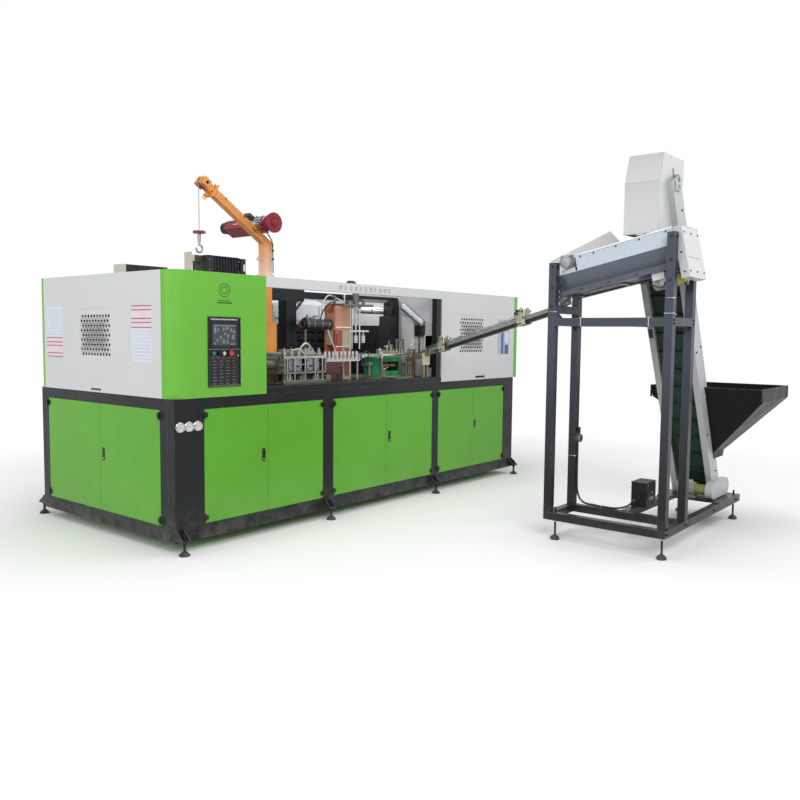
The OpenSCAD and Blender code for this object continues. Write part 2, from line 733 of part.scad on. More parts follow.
// open bay between the cabinets
module bay_frame() color([0.10, 0.11, 0.12]) at_body() {
  slot_p = (right_x - rear_gap - rear_x - 50) / 4;
  for (x = [portal_x, right_x - portal_gap - post_step]) bar(x, 542, bed_z, 116, 116, 1930);
  translate([portal_x, 560, 1930]) cube([right_x - portal_gap - portal_x, 80, 60]);
  translate([1410, 545, 1900]) cube([390, 94, 130]);
  difference() {
    translate([rear_x, 1150, bed_z]) cube([right_x - rear_gap - rear_x, 250, 1700 - bed_z]);
    for (j = [0:4]) for (i = [0:3]) translate([rear_x + 40 + i * slot_p, 1149, 1260 + j * 85]) cube([slot_p - 30, 30, 30]);
  }
  for (y = [5, frame_wid - 65]) bar(right_x - end_bar_w - end_bar_gap, y, bed_z, end_bar_w, 60, body_h - header_h);
}

// ribbed hose along +Z
module ribbed(r, l) {
  n = floor(l / 24);
  rotate_extrude($fn = 48) polygon(concat([[0, 0]],
    [for (i = [0:n - 1], k = [0:3]) [[r - 7, r, r, r - 7][k], (i + [0, 0.3, 0.7, 1][k]) * l / n]], [[0, l]]));
}

module ducts() color([0.72, 0.74, 0.75]) at_body() {
  translate([1740, 688, 1800]) rotate([0, 45, 0]) ribbed(48, 190);
  translate([duct_x, 692, 1850]) rotate([0, 90, 0]) ribbed(34, right_x - portal_gap - post_step + duct_in - duct_x);
  translate([right_x - portal_gap, 600, 1925]) rotate([0, 90, 0]) cylinder(r = 58, h = 26, $fn = 64);
  translate([right_x - duct_wall, 480, 1900]) rotate([125, 0, 0]) ribbed(40, 330);
}

module clamp_frame() color([0.80, 0.78, 0.68]) at_body() difference() {
  union() {
    translate([st_x, st_y, bed_z]) cube([clamp_l, clamp_d, 20]);
    for (x = [20, clamp_l - 48], y = [16, clamp_d - 44]) bar(st_x + x, st_y + y, bed_z, 28, 28, low_z);
    translate([st_x, st_y, low_z]) cube([clamp_l, clamp_d, 18]);
    translate([st_x, st_y, up_z]) cube([clamp_l, clamp_d, 18]);
    for (x = [0, clamp_l - 20]) bar(st_x + x, st_y, low_z, 20, clamp_d, up_z);
    for (y = [40, clamp_d - 40]) translate([st_x - 6, st_y + y, mid_mould]) rotate([0, 90, 0])
      cylinder(r = guide_r, h = clamp_l + 12, $fn = 48);
    for (s = [-88, clamp_l]) translate([st_x + s, st_y + clamp_d / 2, mid_mould]) rotate([0, 90, 0])
      cylinder(r = 38, h = 88, $fn = 64);
    for (i = [0:5]) translate([st_x + 45 + i * 82, st_y + 50, up_z + 18]) {
      cylinder(r = 22, h = 34, $fn = 48);
      cylinder(r = 14, h = 62, $fn = 48);
    }
    translate([st_x + 150, st_y + 130, up_z + 18]) cube([200, 110, 55]);
  }
  translate([st_x - 76, st_y + clamp_d / 2, mid_mould]) rotate([0, 90, 0])
    cylinder(r = ram_r + run, h = clamp_l + 152, $fn = 48);
}

module mould(s) color([0.62, 0.64, 0.66]) at_body() translate([st_x + clamp_l / 2, st_y, mid_mould]) mirror([s, 0, 0]) {
  difference() {
    translate([mould_gap / 2, 20, -mould_h / 2]) cube([mould_l, clamp_d - 40, mould_h]);
    for (y = [40, clamp_d - 40]) translate([0, y, 0]) rotate([0, 90, 0]) cylinder(r = guide_r + run, h = 400, $fn = 48);
    for (y = [100, clamp_d - 100]) translate([mould_gap / 2, y, -mould_h / 2 + 12])
      cylinder(r = cav_r, h = mould_h, $fn = 48);
  }
  translate([mould_gap / 2 + mould_l - 10, clamp_d / 2, 0]) rotate([0, 90, 0])
    cylinder(r = ram_r, h = clamp_l / 2 - mould_gap / 2 - mould_l + 70, $fn = 48);
}

module mould_left() mould(1);
module mould_right() mould(0);

module stretch_frame() color([0.86, 0.60, 0.42]) at_body() {
  difference() {
    union() {
      for (y = [-70, 50]) bar(su_x, su_y + y, bed_z, 220, 20, su_top);
      translate([su_x + 80, su_y - 100, su_top]) cube([430, 200, 20]);
      translate([su_x, su_y - 70, bed_z]) cube([220, 140, 14]);
      translate([su_x, su_y - 70, 1500]) cube([14, 140, 300]);
      translate([su_x + 360, su_y, su_top + 20]) cylinder(r = 32, h = 128, $fn = 64);
      for (x = srod_x) translate([x, su_y, 1460]) cylinder(r = srod_r, h = su_top - 1459, $fn = 48);
    }
    translate([su_x + 360, su_y, su_top - 1]) cylinder(r = 10 + run, h = 140, $fn = 48);
  }
  translate([su_x - 340, su_y, 1690]) rotate([0, 90, 0]) cylinder(r = 50, h = 340, $fn = 64);
  translate([su_x - 348, su_y, 1690]) rotate([0, 90, 0]) cylinder(r = 34, h = 9, $fn = 64);
  translate([su_x - 318, su_y, bed_z]) cylinder(r = 12, h = 470, $fn = 48);
  translate([1800, 270, bed_z]) cube([180, 160, 175]);
  translate([1982, 275, bed_z]) cube([54, 100, 130]);
  translate([1800, 285, 1350]) cube([480, 30, 12]);
  translate([2262, 300, bed_z]) cylinder(r = 8, h = 176, $fn = 32);
  for (i = [0:8]) translate([1826 + i * 53, 300, 1361]) cylinder(r = 14, h = 52, $fn = 32);
}

module stretch_carriage() color([0.83, 0.84, 0.82]) at_body() {
  difference() {
    translate([su_x + 208, su_y - 38, carr_z]) cube([304, 76, 16]);
    for (x = srod_x) translate([x, su_y, carr_z - 1]) cylinder(r = srod_r + run, h = 20, $fn = 48);
  }
  translate([su_x + 360, su_y, carr_z + 8]) cylinder(r = 10, h = su_top + 130 - carr_z - 8, $fn = 48);
  for (x = cup_x) translate([x, su_y, 0]) {
    translate([0, 0, carr_z - 30]) cylinder(r = 7, h = 31, $fn = 32);
    translate([0, 0, carr_z - 106]) cylinder(r = 19, h = 78, $fn = 48);
  }
}

module feed_table() color([0.84, 0.80, 0.68]) at_body() {
  difference() {
    union() {
      translate([star_x, star_y, bed_z]) cylinder(r = plate_r, h = 12, $fn = 128);
      translate([star_x, star_y, bed_z]) cylinder(r = 60, h = star_z - 16 - bed_z, $fn = 64);
    }
    translate([star_x, star_y, bed_z + 30]) cylinder(r = 20 + run, h = 200, $fn = 48);
  }
  translate([2543, 230, table_z - 14]) cube([469, 345, 14]);
  for (p = [[2555, 242], [2555, 562], [3000, 244], [3000, 560]])
    translate([p[0], p[1], bed_z + 12]) cylinder(r = 9, h = table_z - 14 - bed_z - 12, $fn = 32);
  translate([2880, 420, table_z]) cube([110, 140, 380]);
  translate([2600, 250, table_z]) cube([250, 26, 22]);
  translate([2640, 330, table_z]) cube([90, 60, 46]);
  translate([2760, 300, table_z]) cylinder(r = 17, h = 95, $fn = 48);
  translate([2800, 360, table_z]) cylinder(r = 9, h = 130, $fn = 32);
  translate([2850, 300, table_z]) cube([14, 14, 150]);
  translate([2850, 300, table_z + 136]) cube([120, 14, 14]);
  translate([2956, 300, table_z]) cube([14, 14, 150]);
  for (x = [3050, 3140]) bar(x, 300, bed_z, 22, 22, 1440);
  translate([3050, 300, 1440]) cube([112, 22, 14]);
}

module star_wheel() color([0.55, 0.38, 0.22]) at_body() translate([star_x, star_y, star_z]) {
  difference() {
    translate([0, 0, -12]) cylinder(r = star_r, h = 24, $fn = 128);
    for (i = [0:star_n - 1]) rotate([0, 0, i * 360 / star_n]) translate([star_r + 4, 0, -13])
      cylinder(r = 19, h = 26, $fn = 32);
    for (i = [0:5]) rotate([0, 0, i * 60 + 15]) translate([star_r * 0.55, 0, -13]) cylinder(r = 24, h = 26, $fn = 48);
  }
  translate([0, 0, 11]) cylinder(r = 42, h = 22, $fn = 64);
  translate([0, 0, bed_z + 34 - star_z]) cylinder(r = 20, h = star_z - bed_z - 30, $fn = 48);
}

module green_guard() color([0.05, 0.55, 0.38]) at_body() translate([star_x, star_y, bed_z + 12]) difference() {
  cylinder(r = guard_r, h = 200, $fn = 128);
  translate([0, 0, -1]) cylinder(r = guard_r - 3, h = 202, $fn = 128);
  translate([-300, 0, -1]) cube([600, 300, 210]);
  translate([-guard_r + 70, -300, 60]) cube([2 * guard_r - 100, 300, 90]);
}

module chute() color([0.20, 0.21, 0.22]) {
  at_body() translate([ch_x - 40, ch_y + 27, ch_z - 60]) cube([80, 24, 64]);
  at_chute() {
    translate([-beam_w / 2, 50, -beam_h]) cube([beam_w, ch_len - 50, beam_h]);
    for (s = [-1, 1]) {
      translate([s * 17 - 2, 50, -0.01]) cube([4, ch_len - 50, 34]);
      translate([s * 34 - 2, 480, 44]) cube([4, 1500, 4]);
    }
    for (y = [520, 1640]) translate([0, y, 0]) {
      for (s = [-1, 1]) {
        translate([s * 38 - 2 , -50, -beam_h - 6]) cube([4, 100, 128]);
        translate([s * 52, 30, 70]) rotate([0, 90, 0]) cylinder(r = 14, h = 26, center = true, $fn = 32);
      }
      translate([-40, -50, -beam_h - 6]) cube([80, 100, 6.01]);
    }
    for (y = [60, 1900]) translate([-26, y, -0.01]) cube([52, 10, 42]);
  }
  difference() {
    at_body() for (x = [2975, 3035]) bar(x, 52, bed_z, 24, 24, 1500);
    at_chute() translate([-beam_w / 2 - 60, 0, -beam_h]) cube([beam_w + 120, ch_len + 40, 400]);
  }
}

// preform loader tower
module tower_base() color([0.23, 0.24, 0.27]) at_tower() difference() {
  union() {
    bar(0, -tower_wid, tower_z, tower_len, tube, base_top);
    bar(0, -tower_wid, tower_z, tube, tower_wid, base_top);
    bar(0, -tube, tower_z, post_row + tube, tube, base_top);
    bar(post_row, -tower_wid, tower_z, tube, tower_wid, base_top);
    bar(post_row, rail2_y, tower_z, tower_len - post_row, tube, base_top);
    bar(tower_len - tube, -tower_wid, tower_z, tube, rail2_y + tower_wid + tube, base_top);
    bar(1230, -tower_wid, base_top, 460, rail2_y + tower_wid + tube, plate_z);
  }
  for (p = [[tube / 2, -tower_wid + tube / 2], [tube / 2, -tube - 32], [tower_len - tube - 27, -tower_wid + tube / 2],
    [tower_len - tube - 27, rail2_y + tube / 2]]) translate([p[0], p[1], 0]) cylinder(r = stem_t + 0.5, h = 400, $fn = 48);
}

module tower_posts() color([0.23, 0.24, 0.27]) {
  at_tower() {
    for (i = [0:3]) bar(post_xy[i][0], post_xy[i][1], base_top, tube, tube, post_z[i]);
    for (x = [0, post_row]) bar(x, -tower_wid + tube, mid_z, tube, tower_wid - 2 * tube, mid_z + tube);
    for (y = [-tower_wid, -tube]) bar(tube, y, mid_z, post_row - tube, tube, mid_z + tube);
    bar(tube, -tube, 1780, post_row - tube, tube, 1840);
    translate([0, -tube, mid_z + tube]) rotate([90, 0, 90]) linear_extrude(tube) polygon([[0, 0], [0, 40], [-40, 0]]);
  }
  difference() {
    at_body() for (y = [0, elev_w - 40]) translate([tower_x + post_row + tube, ty + elev_y + y, mid_z]) cube([500, 40, tube]);
    at_elev() translate([-chan_d / 2, -10, 0]) cube([700, elev_w + 20, elev_len]);
  }
}

// sheet trough with two sorting rollers
module trough() color([0.55, 0.58, 0.62]) at_trough() {
  x0 = t_mid - trough_w / 2;
  x1 = t_mid + trough_w / 2;
  difference() {
    translate([0, -trough_len, 0]) rotate([90, 0, 180]) mirror([1, 0, 0]) linear_extrude(trough_len)
      polygon([[x0, 290], [x0, 170], [120, 60], [120, 20], [340, 20], [340, 60], [x1, 170], [x1, 290],
        [x1 - 3, 290], [x1 - 3, 171], [337, 61], [337, 23], [123, 23], [123, 61], [x0 + 3, 171], [x0 + 3, 290]]);
    translate([x0 - 5, -190, 175]) cube([20, 200, 200]);
  }
  translate([x1 - 3, 0, 0]) rotate([90, 0, 90]) linear_extrude(3)
    polygon([[-trough_len, 280], [-trough_len, 290], [-560, 290], [-441, 339], [-363, 467], [192, 371], [192, 250], [0, 200], [0, 172], [-30, 172]]);
  for (x = [tube, post_row - 40]) translate([x, -trough_len, 5]) cube([40, trough_len - 4, 40]);
  for (y = [-880, -470, -80]) translate([tube + 20, y, 8]) cube([post_row - tube - 40, 30, 12]);
  for (y = [-trough_len + 10, -45]) translate([121, y, 21]) difference() {
    cube([218, 6, y < -100 ? 240 : 108]);
    for (x = ax_x) translate([x - 121, -1, ax_z - 21]) rotate([-90, 0, 0]) cylinder(r = shaft_r + run, h = 8, $fn = 48);
  }
  translate([x0, -170, 168]) cube([10, 110, 36]);
}

module roller(i) color([0.78, 0.80, 0.82]) at_trough() translate([ax_x[i], 0, ax_z]) rotate([90, 0, 0]) {
  translate([0, 0, 50]) cylinder(r = roller_r, h = trough_len - 72, $fn = 64);
  translate([0, 0, 28]) cylinder(r = shaft_r, h = trough_len + 4, $fn = 48);
}

module roller_a() roller(0);
module roller_b() roller(1);

module trough_drive() color([0.86, 0.87, 0.87]) at_trough() {
  translate([tube, -trough_len - 66, -84]) difference() {
    cube([post_row - tube, 60, 374]);
    translate([3, 3, 3]) cube([post_row - tube - 6, 60, 368]);
  }
  translate([30, -115, 254]) rotate([0, 90, 0]) {
    cylinder(r = 46, h = 10, $fn = 64);
    translate([0, 0, 10]) cylinder(r = 50, h = 110, $fn = 64);
    translate([0, 0, 120]) cylinder(r = 38, h = 70, $fn = 64);
    translate([-40, -40, 190]) cube([80, 80, 70]);
  }
  translate([180, -trough_len + 60, -60]) rotate([90, 0, 0]) {
    cylinder(r = 45, h = 63, $fn = 64);
    translate([0, 0, -170]) cylinder(r = 50, h = 171, $fn = 64);
  }
  translate([tube + 25, -trough_len + 120, -48]) cube([75, 90, 53]);
  translate([tube + 10, -60, -60]) cube([70, 70, 65]);
}

// cleated elevator
module elev_frame() color([0.76, 0.78, 0.78]) {
  h = chan_d / 2;
  difference() {
    union() {
      at_elev() {
        for (m = [0, 1]) translate([0, m * elev_w, 0]) mirror([0, m, 0]) translate([0, 0, -35]) {
          translate([-h, 0, 0]) cube([chan_d, chan_t, elev_len + chan_over]);
          for (x = [-h, h - chan_t]) translate([x, 0, 0]) cube([chan_t, chan_lip, elev_len + chan_over]);
        }
        for (z = [560, elev_len / 2, elev_len - 560]) translate([0, 2, z]) rotate([-90, 0, 0]) cylinder(r = 14, h = elev_w - 4, $fn = 48);
        for (z = [0, elev_len]) translate([0, elev_w + 16, z]) rotate([90, 0, 0]) cylinder(r = 32, h = 17, $fn = 64);
        translate([0, 1, elev_len]) rotate([90, 0, 0]) cylinder(r = 32, h = 17, $fn = 64);
      }
      at_body() for (y = [0, elev_w - 8]) translate([elev_x - 76, ty + elev_y + y, plate_z]) cube([150, 8, 90]);
    }
    at_elev() for (z = [0, elev_len]) translate([0, -40, z]) rotate([-90, 0, 0])
      cylinder(r = shaft_r + run, h = elev_w + 80, $fn = 48);
  }
}

module loop(r) {
  translate([-r, 0]) square([2 * r, elev_len]);
  circle(r, $fn = 96);
  translate([0, elev_len]) circle(r, $fn = 96);
}

module belt() color([0.11, 0.24, 0.18]) at_elev() translate([0, belt_y0 + belt_w, 0]) rotate([90, 0, 0]) linear_extrude(belt_w) {
  difference() {
    loop(belt_out);
    loop(belt_in);
  }
  for (s = [-1, 1], i = [0:floor((elev_len - 60) / cleat_pitch)])
    translate([s * (belt_out + cleat_h / 2 - 0.5) - (cleat_h + 1) / 2, 30 + i * cleat_pitch]) square([cleat_h + 1, 6]);
}

module drum(z) color([0.30, 0.31, 0.33]) at_elev() translate([0, 0, z]) rotate([-90, 0, 0]) {
  translate([0, 0, belt_y0 - 2.5]) cylinder(r = drum_r, h = belt_w + 5, $fn = 96);
  translate([0, 0, -20]) cylinder(r = shaft_r, h = elev_w + 40, $fn = 48);
}

module drum_foot() drum(0);
module drum_head() drum(elev_len);

module foot_drive() color([0.80, 0.82, 0.82]) at_body() translate([elev_x - 231, ty + elev_y, elev_z]) {
  rotate([90, 0, 0]) difference() {
    linear_extrude(55) level_slot(330, 74);
    translate([0, 0, 5]) linear_extrude(47) level_slot(330, 71);
    translate([231, 0, -1]) cylinder(r = shaft_r + 1.5, h = 20, $fn = 48);
  }
  rotate([-90, 0, 0]) {
    cylinder(r = 44, h = 90, $fn = 64);
    translate([0, 0, 90]) cylinder(r = 55, h = 170, $fn = 64);
  }
  translate([-35, 100, -elev_z + plate_z]) cube([70, 90, 40]);
}

module hood() color([0.84, 0.85, 0.85]) at_body() translate([0, ty + elev_y + chan_lip + hood_w, 0]) rotate([90, 0, 0]) difference() {
  linear_extrude(hood_w) polygon([[hood_x, hood_low], [hood_x, hood_z], [hood_x + 70, hood_z + 210], [hood_x + 480, hood_z + 215],
    [hood_x + 480, hood_z + 45], [hood_x + 300, hood_low]]);
  translate([0, 0, 2]) linear_extrude(hood_w - 4)
    polygon([[hood_x + 2, hood_low - 60], [hood_x + 2, hood_z - 0.4], [hood_x + 71.5, hood_z + 208], [hood_x + 478, hood_z + 213],
      [hood_x + 478, hood_z + 44], [hood_x + 550, hood_z + 44], [hood_x + 550, hood_low - 60]]);
  translate([head_x, head_z, -1]) cylinder(r = shaft_r + 3, h = hood_w + 2, $fn = 48);
}

module hop_form(g, e) intersection() {
  translate([hop_x0 - 10, 0, 0]) rotate([90, 0, 90]) linear_extrude(hop_x1 - hop_x0 + 20) polygon([
    [hop_y0 + g, rim_z + e], [hop_y0 + g, rim_z - lip_h + g * 0.4], [ty + elev_y - 6 + g, hop_neck + g * 0.4],
    [ty + elev_y - 6 + g, hop_bot + g], [ty + elev_y + elev_w + 6 - g, hop_bot + g],
    [ty + elev_y + elev_w + 6 - g, rim_z - 160], [hop_y1 - g, rim_z - lip_h + g * 0.4], [hop_y1 - g, rim_z + e]]);
  translate([0, hop_y1 + 10, 0]) rotate([90, 0, 0]) linear_extrude(hop_y1 - hop_y0 + 20) polygon([
    [hop_x0 + g * 1.12, rim_z + e], [3662 + g * 1.12, hop_bot], [3900 - g * 1.12, hop_bot],
    [hop_x1 - g, rim_z - lip_h], [hop_x1 - g, rim_z + e]]);
}

module hopper() color([0.15, 0.14, 0.14]) difference() {
  at_body() hop_form(0, 0);
  at_body() hop_form(hop_t, 5);
  at_elev() translate([-chan_d / 2 - fit, -fit, -60]) cube([chan_d + 2 * fit, elev_w + 2 * fit, 1600]);
}

module controls() color([0.12, 0.12, 0.13]) at_body() {
  translate([2870, ty + rail2_y - 66, base_top]) cube([190, 126, 206]);
  translate([2878, ty + rail2_y - 70, base_top + 8]) cube([174, 5, 190]);
  translate([tower_x + post_row + tube / 2, ty - tube, 767]) rotate([90, 0, 0]) {
    cylinder(r = 33, h = 34, $fn = 48);
    translate([-14, 20, 0]) cube([28, 70, 26]);
  }
}

// cable swept along its way
cable_r = 8;
way = [[2640, -1824, 730], [2640, -1824, 480], [2641, -1832, 320], [2645, -1880, 240], [2650, -1990, 225],
  [2654, -2110, 222.5], [2675, -2180, 225], [2740, -2226, 238], [2810, -2232, 256], [2869, -2232, 262]];
function cat(a, b, c, d, t) = 0.5 * (2 * b + (c - a) * t + (2 * a - 5 * b + 4 * c - d) * t * t + (3 * b - a - 3 * c + d) * t * t * t);
function at(i) = way[min(max(i, 0), len(way) - 1)];
pts = [for (i = [0:len(way) - 2], k = [0:5]) cat(at(i - 1), at(i), at(i + 1), at(i + 2), k / 6)];
function unit(v) = v / norm(v);
ring = [for (i = [0:len(pts) - 2]) let (t = unit(pts[i + 1] - pts[max(i - 1, 0)]), n = unit(cross(t, [-0.6, -0.1, 0.8])),
  b = cross(t, n)) for (k = [0:9]) pts[i] + cable_r * (cos(k * 36) * n + sin(k * 36) * b)];
rn = len(ring) / 10;

module tower_cable() color([0.10, 0.10, 0.11]) at_body() polyhedron(ring, concat(
  [[for (k = [9:-1:0]) k]], [[for (k = [0:9]) (rn - 1) * 10 + k]],
  [for (i = [0:rn - 2], k = [0:9]) [i * 10 + k, i * 10 + (k + 1) % 10, (i + 1) * 10 + (k + 1) % 10, (i + 1) * 10 + k]]));

frame_front();
frame_rear();
frame_ends();
bed();
panels();
hinges();
levelling_feet();
door_a1();
door_a2();
door_b1();
door_b2();
door_c1();
door_c2();
door_e1();
door_e2();
green_covers();
cover_end_left();
vents();
cabinet_shells();
cover_front_right();
headers();
gauges();
hmi_panel();
btn_start();
btn_stop();
btn_reset();
selector();
roof_units();
crane_column();
crane_mast();
hoist();
sheave();
rope();
hook();
bay_frame();
ducts();
clamp_frame();
mould_left();
mould_right();
stretch_frame();
stretch_carriage();
feed_table();
star_wheel();
green_guard();
chute();
tower_base();
tower_posts();
trough();
roller_a();
roller_b();
trough_drive();
elev_frame();
belt();
drum_foot();
drum_head();
foot_drive();
hood();
hopper();
controls();
tower_cable();
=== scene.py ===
import bpy, bmesh
from itertools import product
from math import cos, pi, radians, sin
from mathutils import Matrix, Vector


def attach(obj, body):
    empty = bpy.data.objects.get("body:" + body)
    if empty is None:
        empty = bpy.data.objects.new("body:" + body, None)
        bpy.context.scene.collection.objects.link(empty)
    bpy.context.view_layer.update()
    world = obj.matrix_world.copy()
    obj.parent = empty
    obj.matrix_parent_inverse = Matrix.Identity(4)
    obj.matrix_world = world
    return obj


# The finishes and the small parts of the blow moulding machine. Lengths of small parts are in millimetres of the
# body or of one of the tilted groups (see FR); lengths in materials, lights and camera are in metres.
X, Y, Z = range(3)
UP, FRONT, BACK, LEFT, RIGHT = (0, 0, 1), (0, -1, 0), (0, 1, 0), (-1, 0, 0), (1, 0, 0)

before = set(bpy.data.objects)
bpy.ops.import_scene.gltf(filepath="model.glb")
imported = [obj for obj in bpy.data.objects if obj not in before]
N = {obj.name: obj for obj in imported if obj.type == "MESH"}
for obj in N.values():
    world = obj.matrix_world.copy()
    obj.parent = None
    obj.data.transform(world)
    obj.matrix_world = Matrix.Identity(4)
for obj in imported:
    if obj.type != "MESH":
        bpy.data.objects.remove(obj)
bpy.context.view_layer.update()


# camera: the photograph's own view
YAW, PITCH, ROLL = radians(50.76), radians(4.37), radians(0.57)
EYE = (-3.320, -4.687, 1.601)  # in metres
LENS, SENSOR, SHIFT, FAR_CLIP = 35.29, 36, (0.00125, -0.0065), 200
ahead = Vector((sin(YAW) * cos(PITCH), cos(YAW) * cos(PITCH), -sin(PITCH)))
level = ahead.cross(Vector(UP)).normalized()
above = level.cross(ahead)
cam_right = cos(ROLL) * level + sin(ROLL) * above
cam_up = -sin(ROLL) * level + cos(ROLL) * above
cam = bpy.data.objects.new("camera", bpy.data.cameras.new("camera"))
bpy.context.scene.collection.objects.link(cam)
cam.matrix_world = Matrix.Translation(EYE) @ Matrix((cam_right, cam_up, -ahead)).transposed().to_4x4()
cam.data.lens, cam.data.sensor_width, cam.data.clip_end = LENS, SENSOR, FAR_CLIP
cam.data.shift_x, cam.data.shift_y = SHIFT
bpy.context.scene.camera = cam


# ---------- nodes and materials ----------
class Nodes:
    """a node tree with short calls for the nodes used here"""

    def __init__(self, tree):
        self.t = tree

    def node(self, kind, **k):
        n = self.t.nodes.new(kind)
        for a, v in k.items():
            setattr(n, a, v)
        return n

    def link(self, a, b):
        self.t.links.new(a, b)

    def math(self, op, a, b, clamp=False):
        n = self.node("ShaderNodeMath", operation=op, use_clamp=clamp)
        self.set(n.inputs[0], a)
        self.set(n.inputs[1], b)
        return n.outputs[0]

    def mixc(self, f, a, b):
        n = self.node("ShaderNodeMix", data_type="RGBA")
        self.set(n.inputs[0], f)
        self.set(n.inputs[6], a)
        self.set(n.inputs[7], b)
        return n.outputs[2]

    def mixf(self, f, a, b):
        n = self.node("ShaderNodeMix", data_type="FLOAT")
        self.set(n.inputs[0], f)
        self.set(n.inputs[2], a)
        self.set(n.inputs[3], b)
        return n.outputs[0]

    def set(self, sock, v):
        if isinstance(v, (int, float)):
            sock.default_value = v
        elif isinstance(v, (tuple, list)):
            sock.default_value = (*tone(v), 1)
        else:
            self.link(v, sock)

    def ramp(self, f, lo, hi):
        return self.math("MULTIPLY", self.math("SUBTRACT", f, lo), 1 / (hi - lo), clamp=True)

    def seen(self):
        """1 for what the camera sees, in mirrors and through glass too, 0 for light that only brightens"""
        lp = self.node("ShaderNodeLightPath").outputs
        seen = self.math("MAXIMUM", lp["Is Camera Ray"], lp["Is Glossy Ray"])
        return self.math("MAXIMUM", seen, lp["Is Transmission Ray"])


class Mat(Nodes):
    """a material round its Principled node; box() is 1 inside a zone of the object's coordinates"""

    def __init__(self, name):
        self.m = bpy.data.materials.new(name)
        self.m.use_nodes = True
        super().__init__(self.m.node_tree)
        self.b = self.t.nodes["Principled BSDF"]
        self.co = self.node("ShaderNodeTexCoord").outputs["Object"]
        split = self.node("ShaderNodeSeparateXYZ")
        self.link(self.co, split.inputs[0])
        self.xyz = split.outputs

    def box(self, x=None, y=None, z=None):
        out = None
        for i, lim in enumerate((x, y, z)):
            if lim is None:
                continue
            for v, op in ((lim[0], "GREATER_THAN"), (lim[1], "LESS_THAN")):
                if v is None:
                    continue
                q = self.math(op, self.xyz[i], v)
                out = q if out is None else self.math("MULTIPLY", out, q)
        return out

    def noise(self, scale, detail=3, rough=0.5, stretch=None):
        n = self.node("ShaderNodeTexNoise")
        n.inputs["Scale"].default_value = scale
        n.inputs["Detail"].default_value = detail
        n.inputs["Roughness"].default_value = rough
        if stretch:
            mp = self.node("ShaderNodeMapping")
            mp.inputs["Scale"].default_value = stretch
            self.link(self.co, mp.inputs[0])
            self.link(mp.outputs[0], n.inputs["Vector"])
        else:
            self.link(self.co, n.inputs["Vector"])
        return n.outputs[0]

    def bump(self, h, strength, dist):
        n = self.node("ShaderNodeBump")
        n.inputs["Strength"].default_value = strength
        n.inputs["Distance"].default_value = dist
        self.link(h, n.inputs["Height"])
        self.link(n.outputs[0], self.b.inputs["Normal"])

    def rules(self, rules, col, rg, mt):
        """zones with a colour and, if given, a roughness and a metallic value of their own"""
        for zone, c, *more in rules:
            mask = self.box(*zone)
            col = self.mixc(mask, col, c)
            if more:
                rg = self.mixf(mask, rg, more[0])
            if len(more) > 1:
                mt = self.mixf(mask, mt, more[1])
        return col, rg, mt

    def out(self, color, rough, metal=0.0, coat=0.0, spec=None):
        self.set(self.b.inputs["Base Color"], color)
        self.set(self.b.inputs["Roughness"], rough)
        self.set(self.b.inputs["Metallic"], metal)
        self.b.inputs["Coat Weight"].default_value = coat
        if spec is not None:
            self.b.inputs["Specular IOR Level"].default_value = spec
        return self.m


def tone(c):
    """a screen colour from 0 to 255 made linear; one from 0 to 1 is linear already"""
    if max(c) <= 1:
        return c
    return tuple(((v / 255 + 0.055) / 1.055) ** 2.4 if v > 10 else v / 255 / 12.92 for v in c)


def shade(c, k):
    return tuple(min(1, v * k) for v in tone(c))


def metal(key, name, c, rough=0.3, stretch=(1, 1, 1), streak=120, mt=1.0, stain=0.12, rules=()):
    """machined or brushed metal: fine streaks and handling marks"""
    m = Mat(name)
    s = m.noise(streak, 2, 0.5, stretch)
    st = m.ramp(m.noise(7, 4, 0.6), 0.4, 0.75)
    col = m.mixc(m.math("MULTIPLY", s, 0.35), c, shade(c, 0.72))
    col = m.mixc(m.math("MULTIPLY", st, stain), col, shade(c, 0.55))
    rg = m.mixf(s, rough - 0.08, rough + 0.12)
    col, rg, mt = m.rules(rules, col, rg, mt)
    m.bump(s, 0.12, 0.0003)
    mats[key] = m.out(col, rg, mt)


def plastic(key, name, c, rough=0.35, depth=0.1, var=0.05):
    """moulded plastic or a printed field: nearly even, with a fine grain"""
    m = Mat(name)
    col = m.mixc(m.ramp(m.noise(14, 3), 0.3, 0.7), shade(c, 1 - var), shade(c, 1 + var))
    rg = m.mixf(m.noise(25, 2), rough - 0.05, rough + 0.08)
    m.bump(m.noise(600, 2), depth, 0.0003)
    mats[key] = m.out(col, rg)


def rubber(key, name, c):
    """a worn belt: dull, chafed, with a woven grain across"""
    m = Mat(name)
    col = m.mixc(m.ramp(m.noise(11, 5, 0.65), 0.35, 0.7), shade(c, 0.8), shade(c, 1.25))
    col = m.mixc(m.math("MULTIPLY", m.ramp(m.noise(70, 3), 0.6, 0.8), 0.2), col, shade(c, 2.2))
    w = m.node("ShaderNodeTexWave", wave_type="BANDS", bands_direction="Y")
    w.inputs["Scale"].default_value = 90
    m.link(m.co, w.inputs["Vector"])
    m.bump(m.math("ADD", w.outputs[1], m.noise(300, 2)), 0.15, 0.0004)
    mats[key] = m.out(col, 0.6)


GREEN_UP, GREEN_DN = (118, 194, 72), (104, 182, 56)
BLACK, SLATE = (30, 33, 35), (66, 71, 83)
BLK = (20, 21, 23)


# ---------- frames of the tilted groups, in millimetres ----------
def turn(axis, deg):
    return Matrix.Rotation(radians(deg), 4, axis)


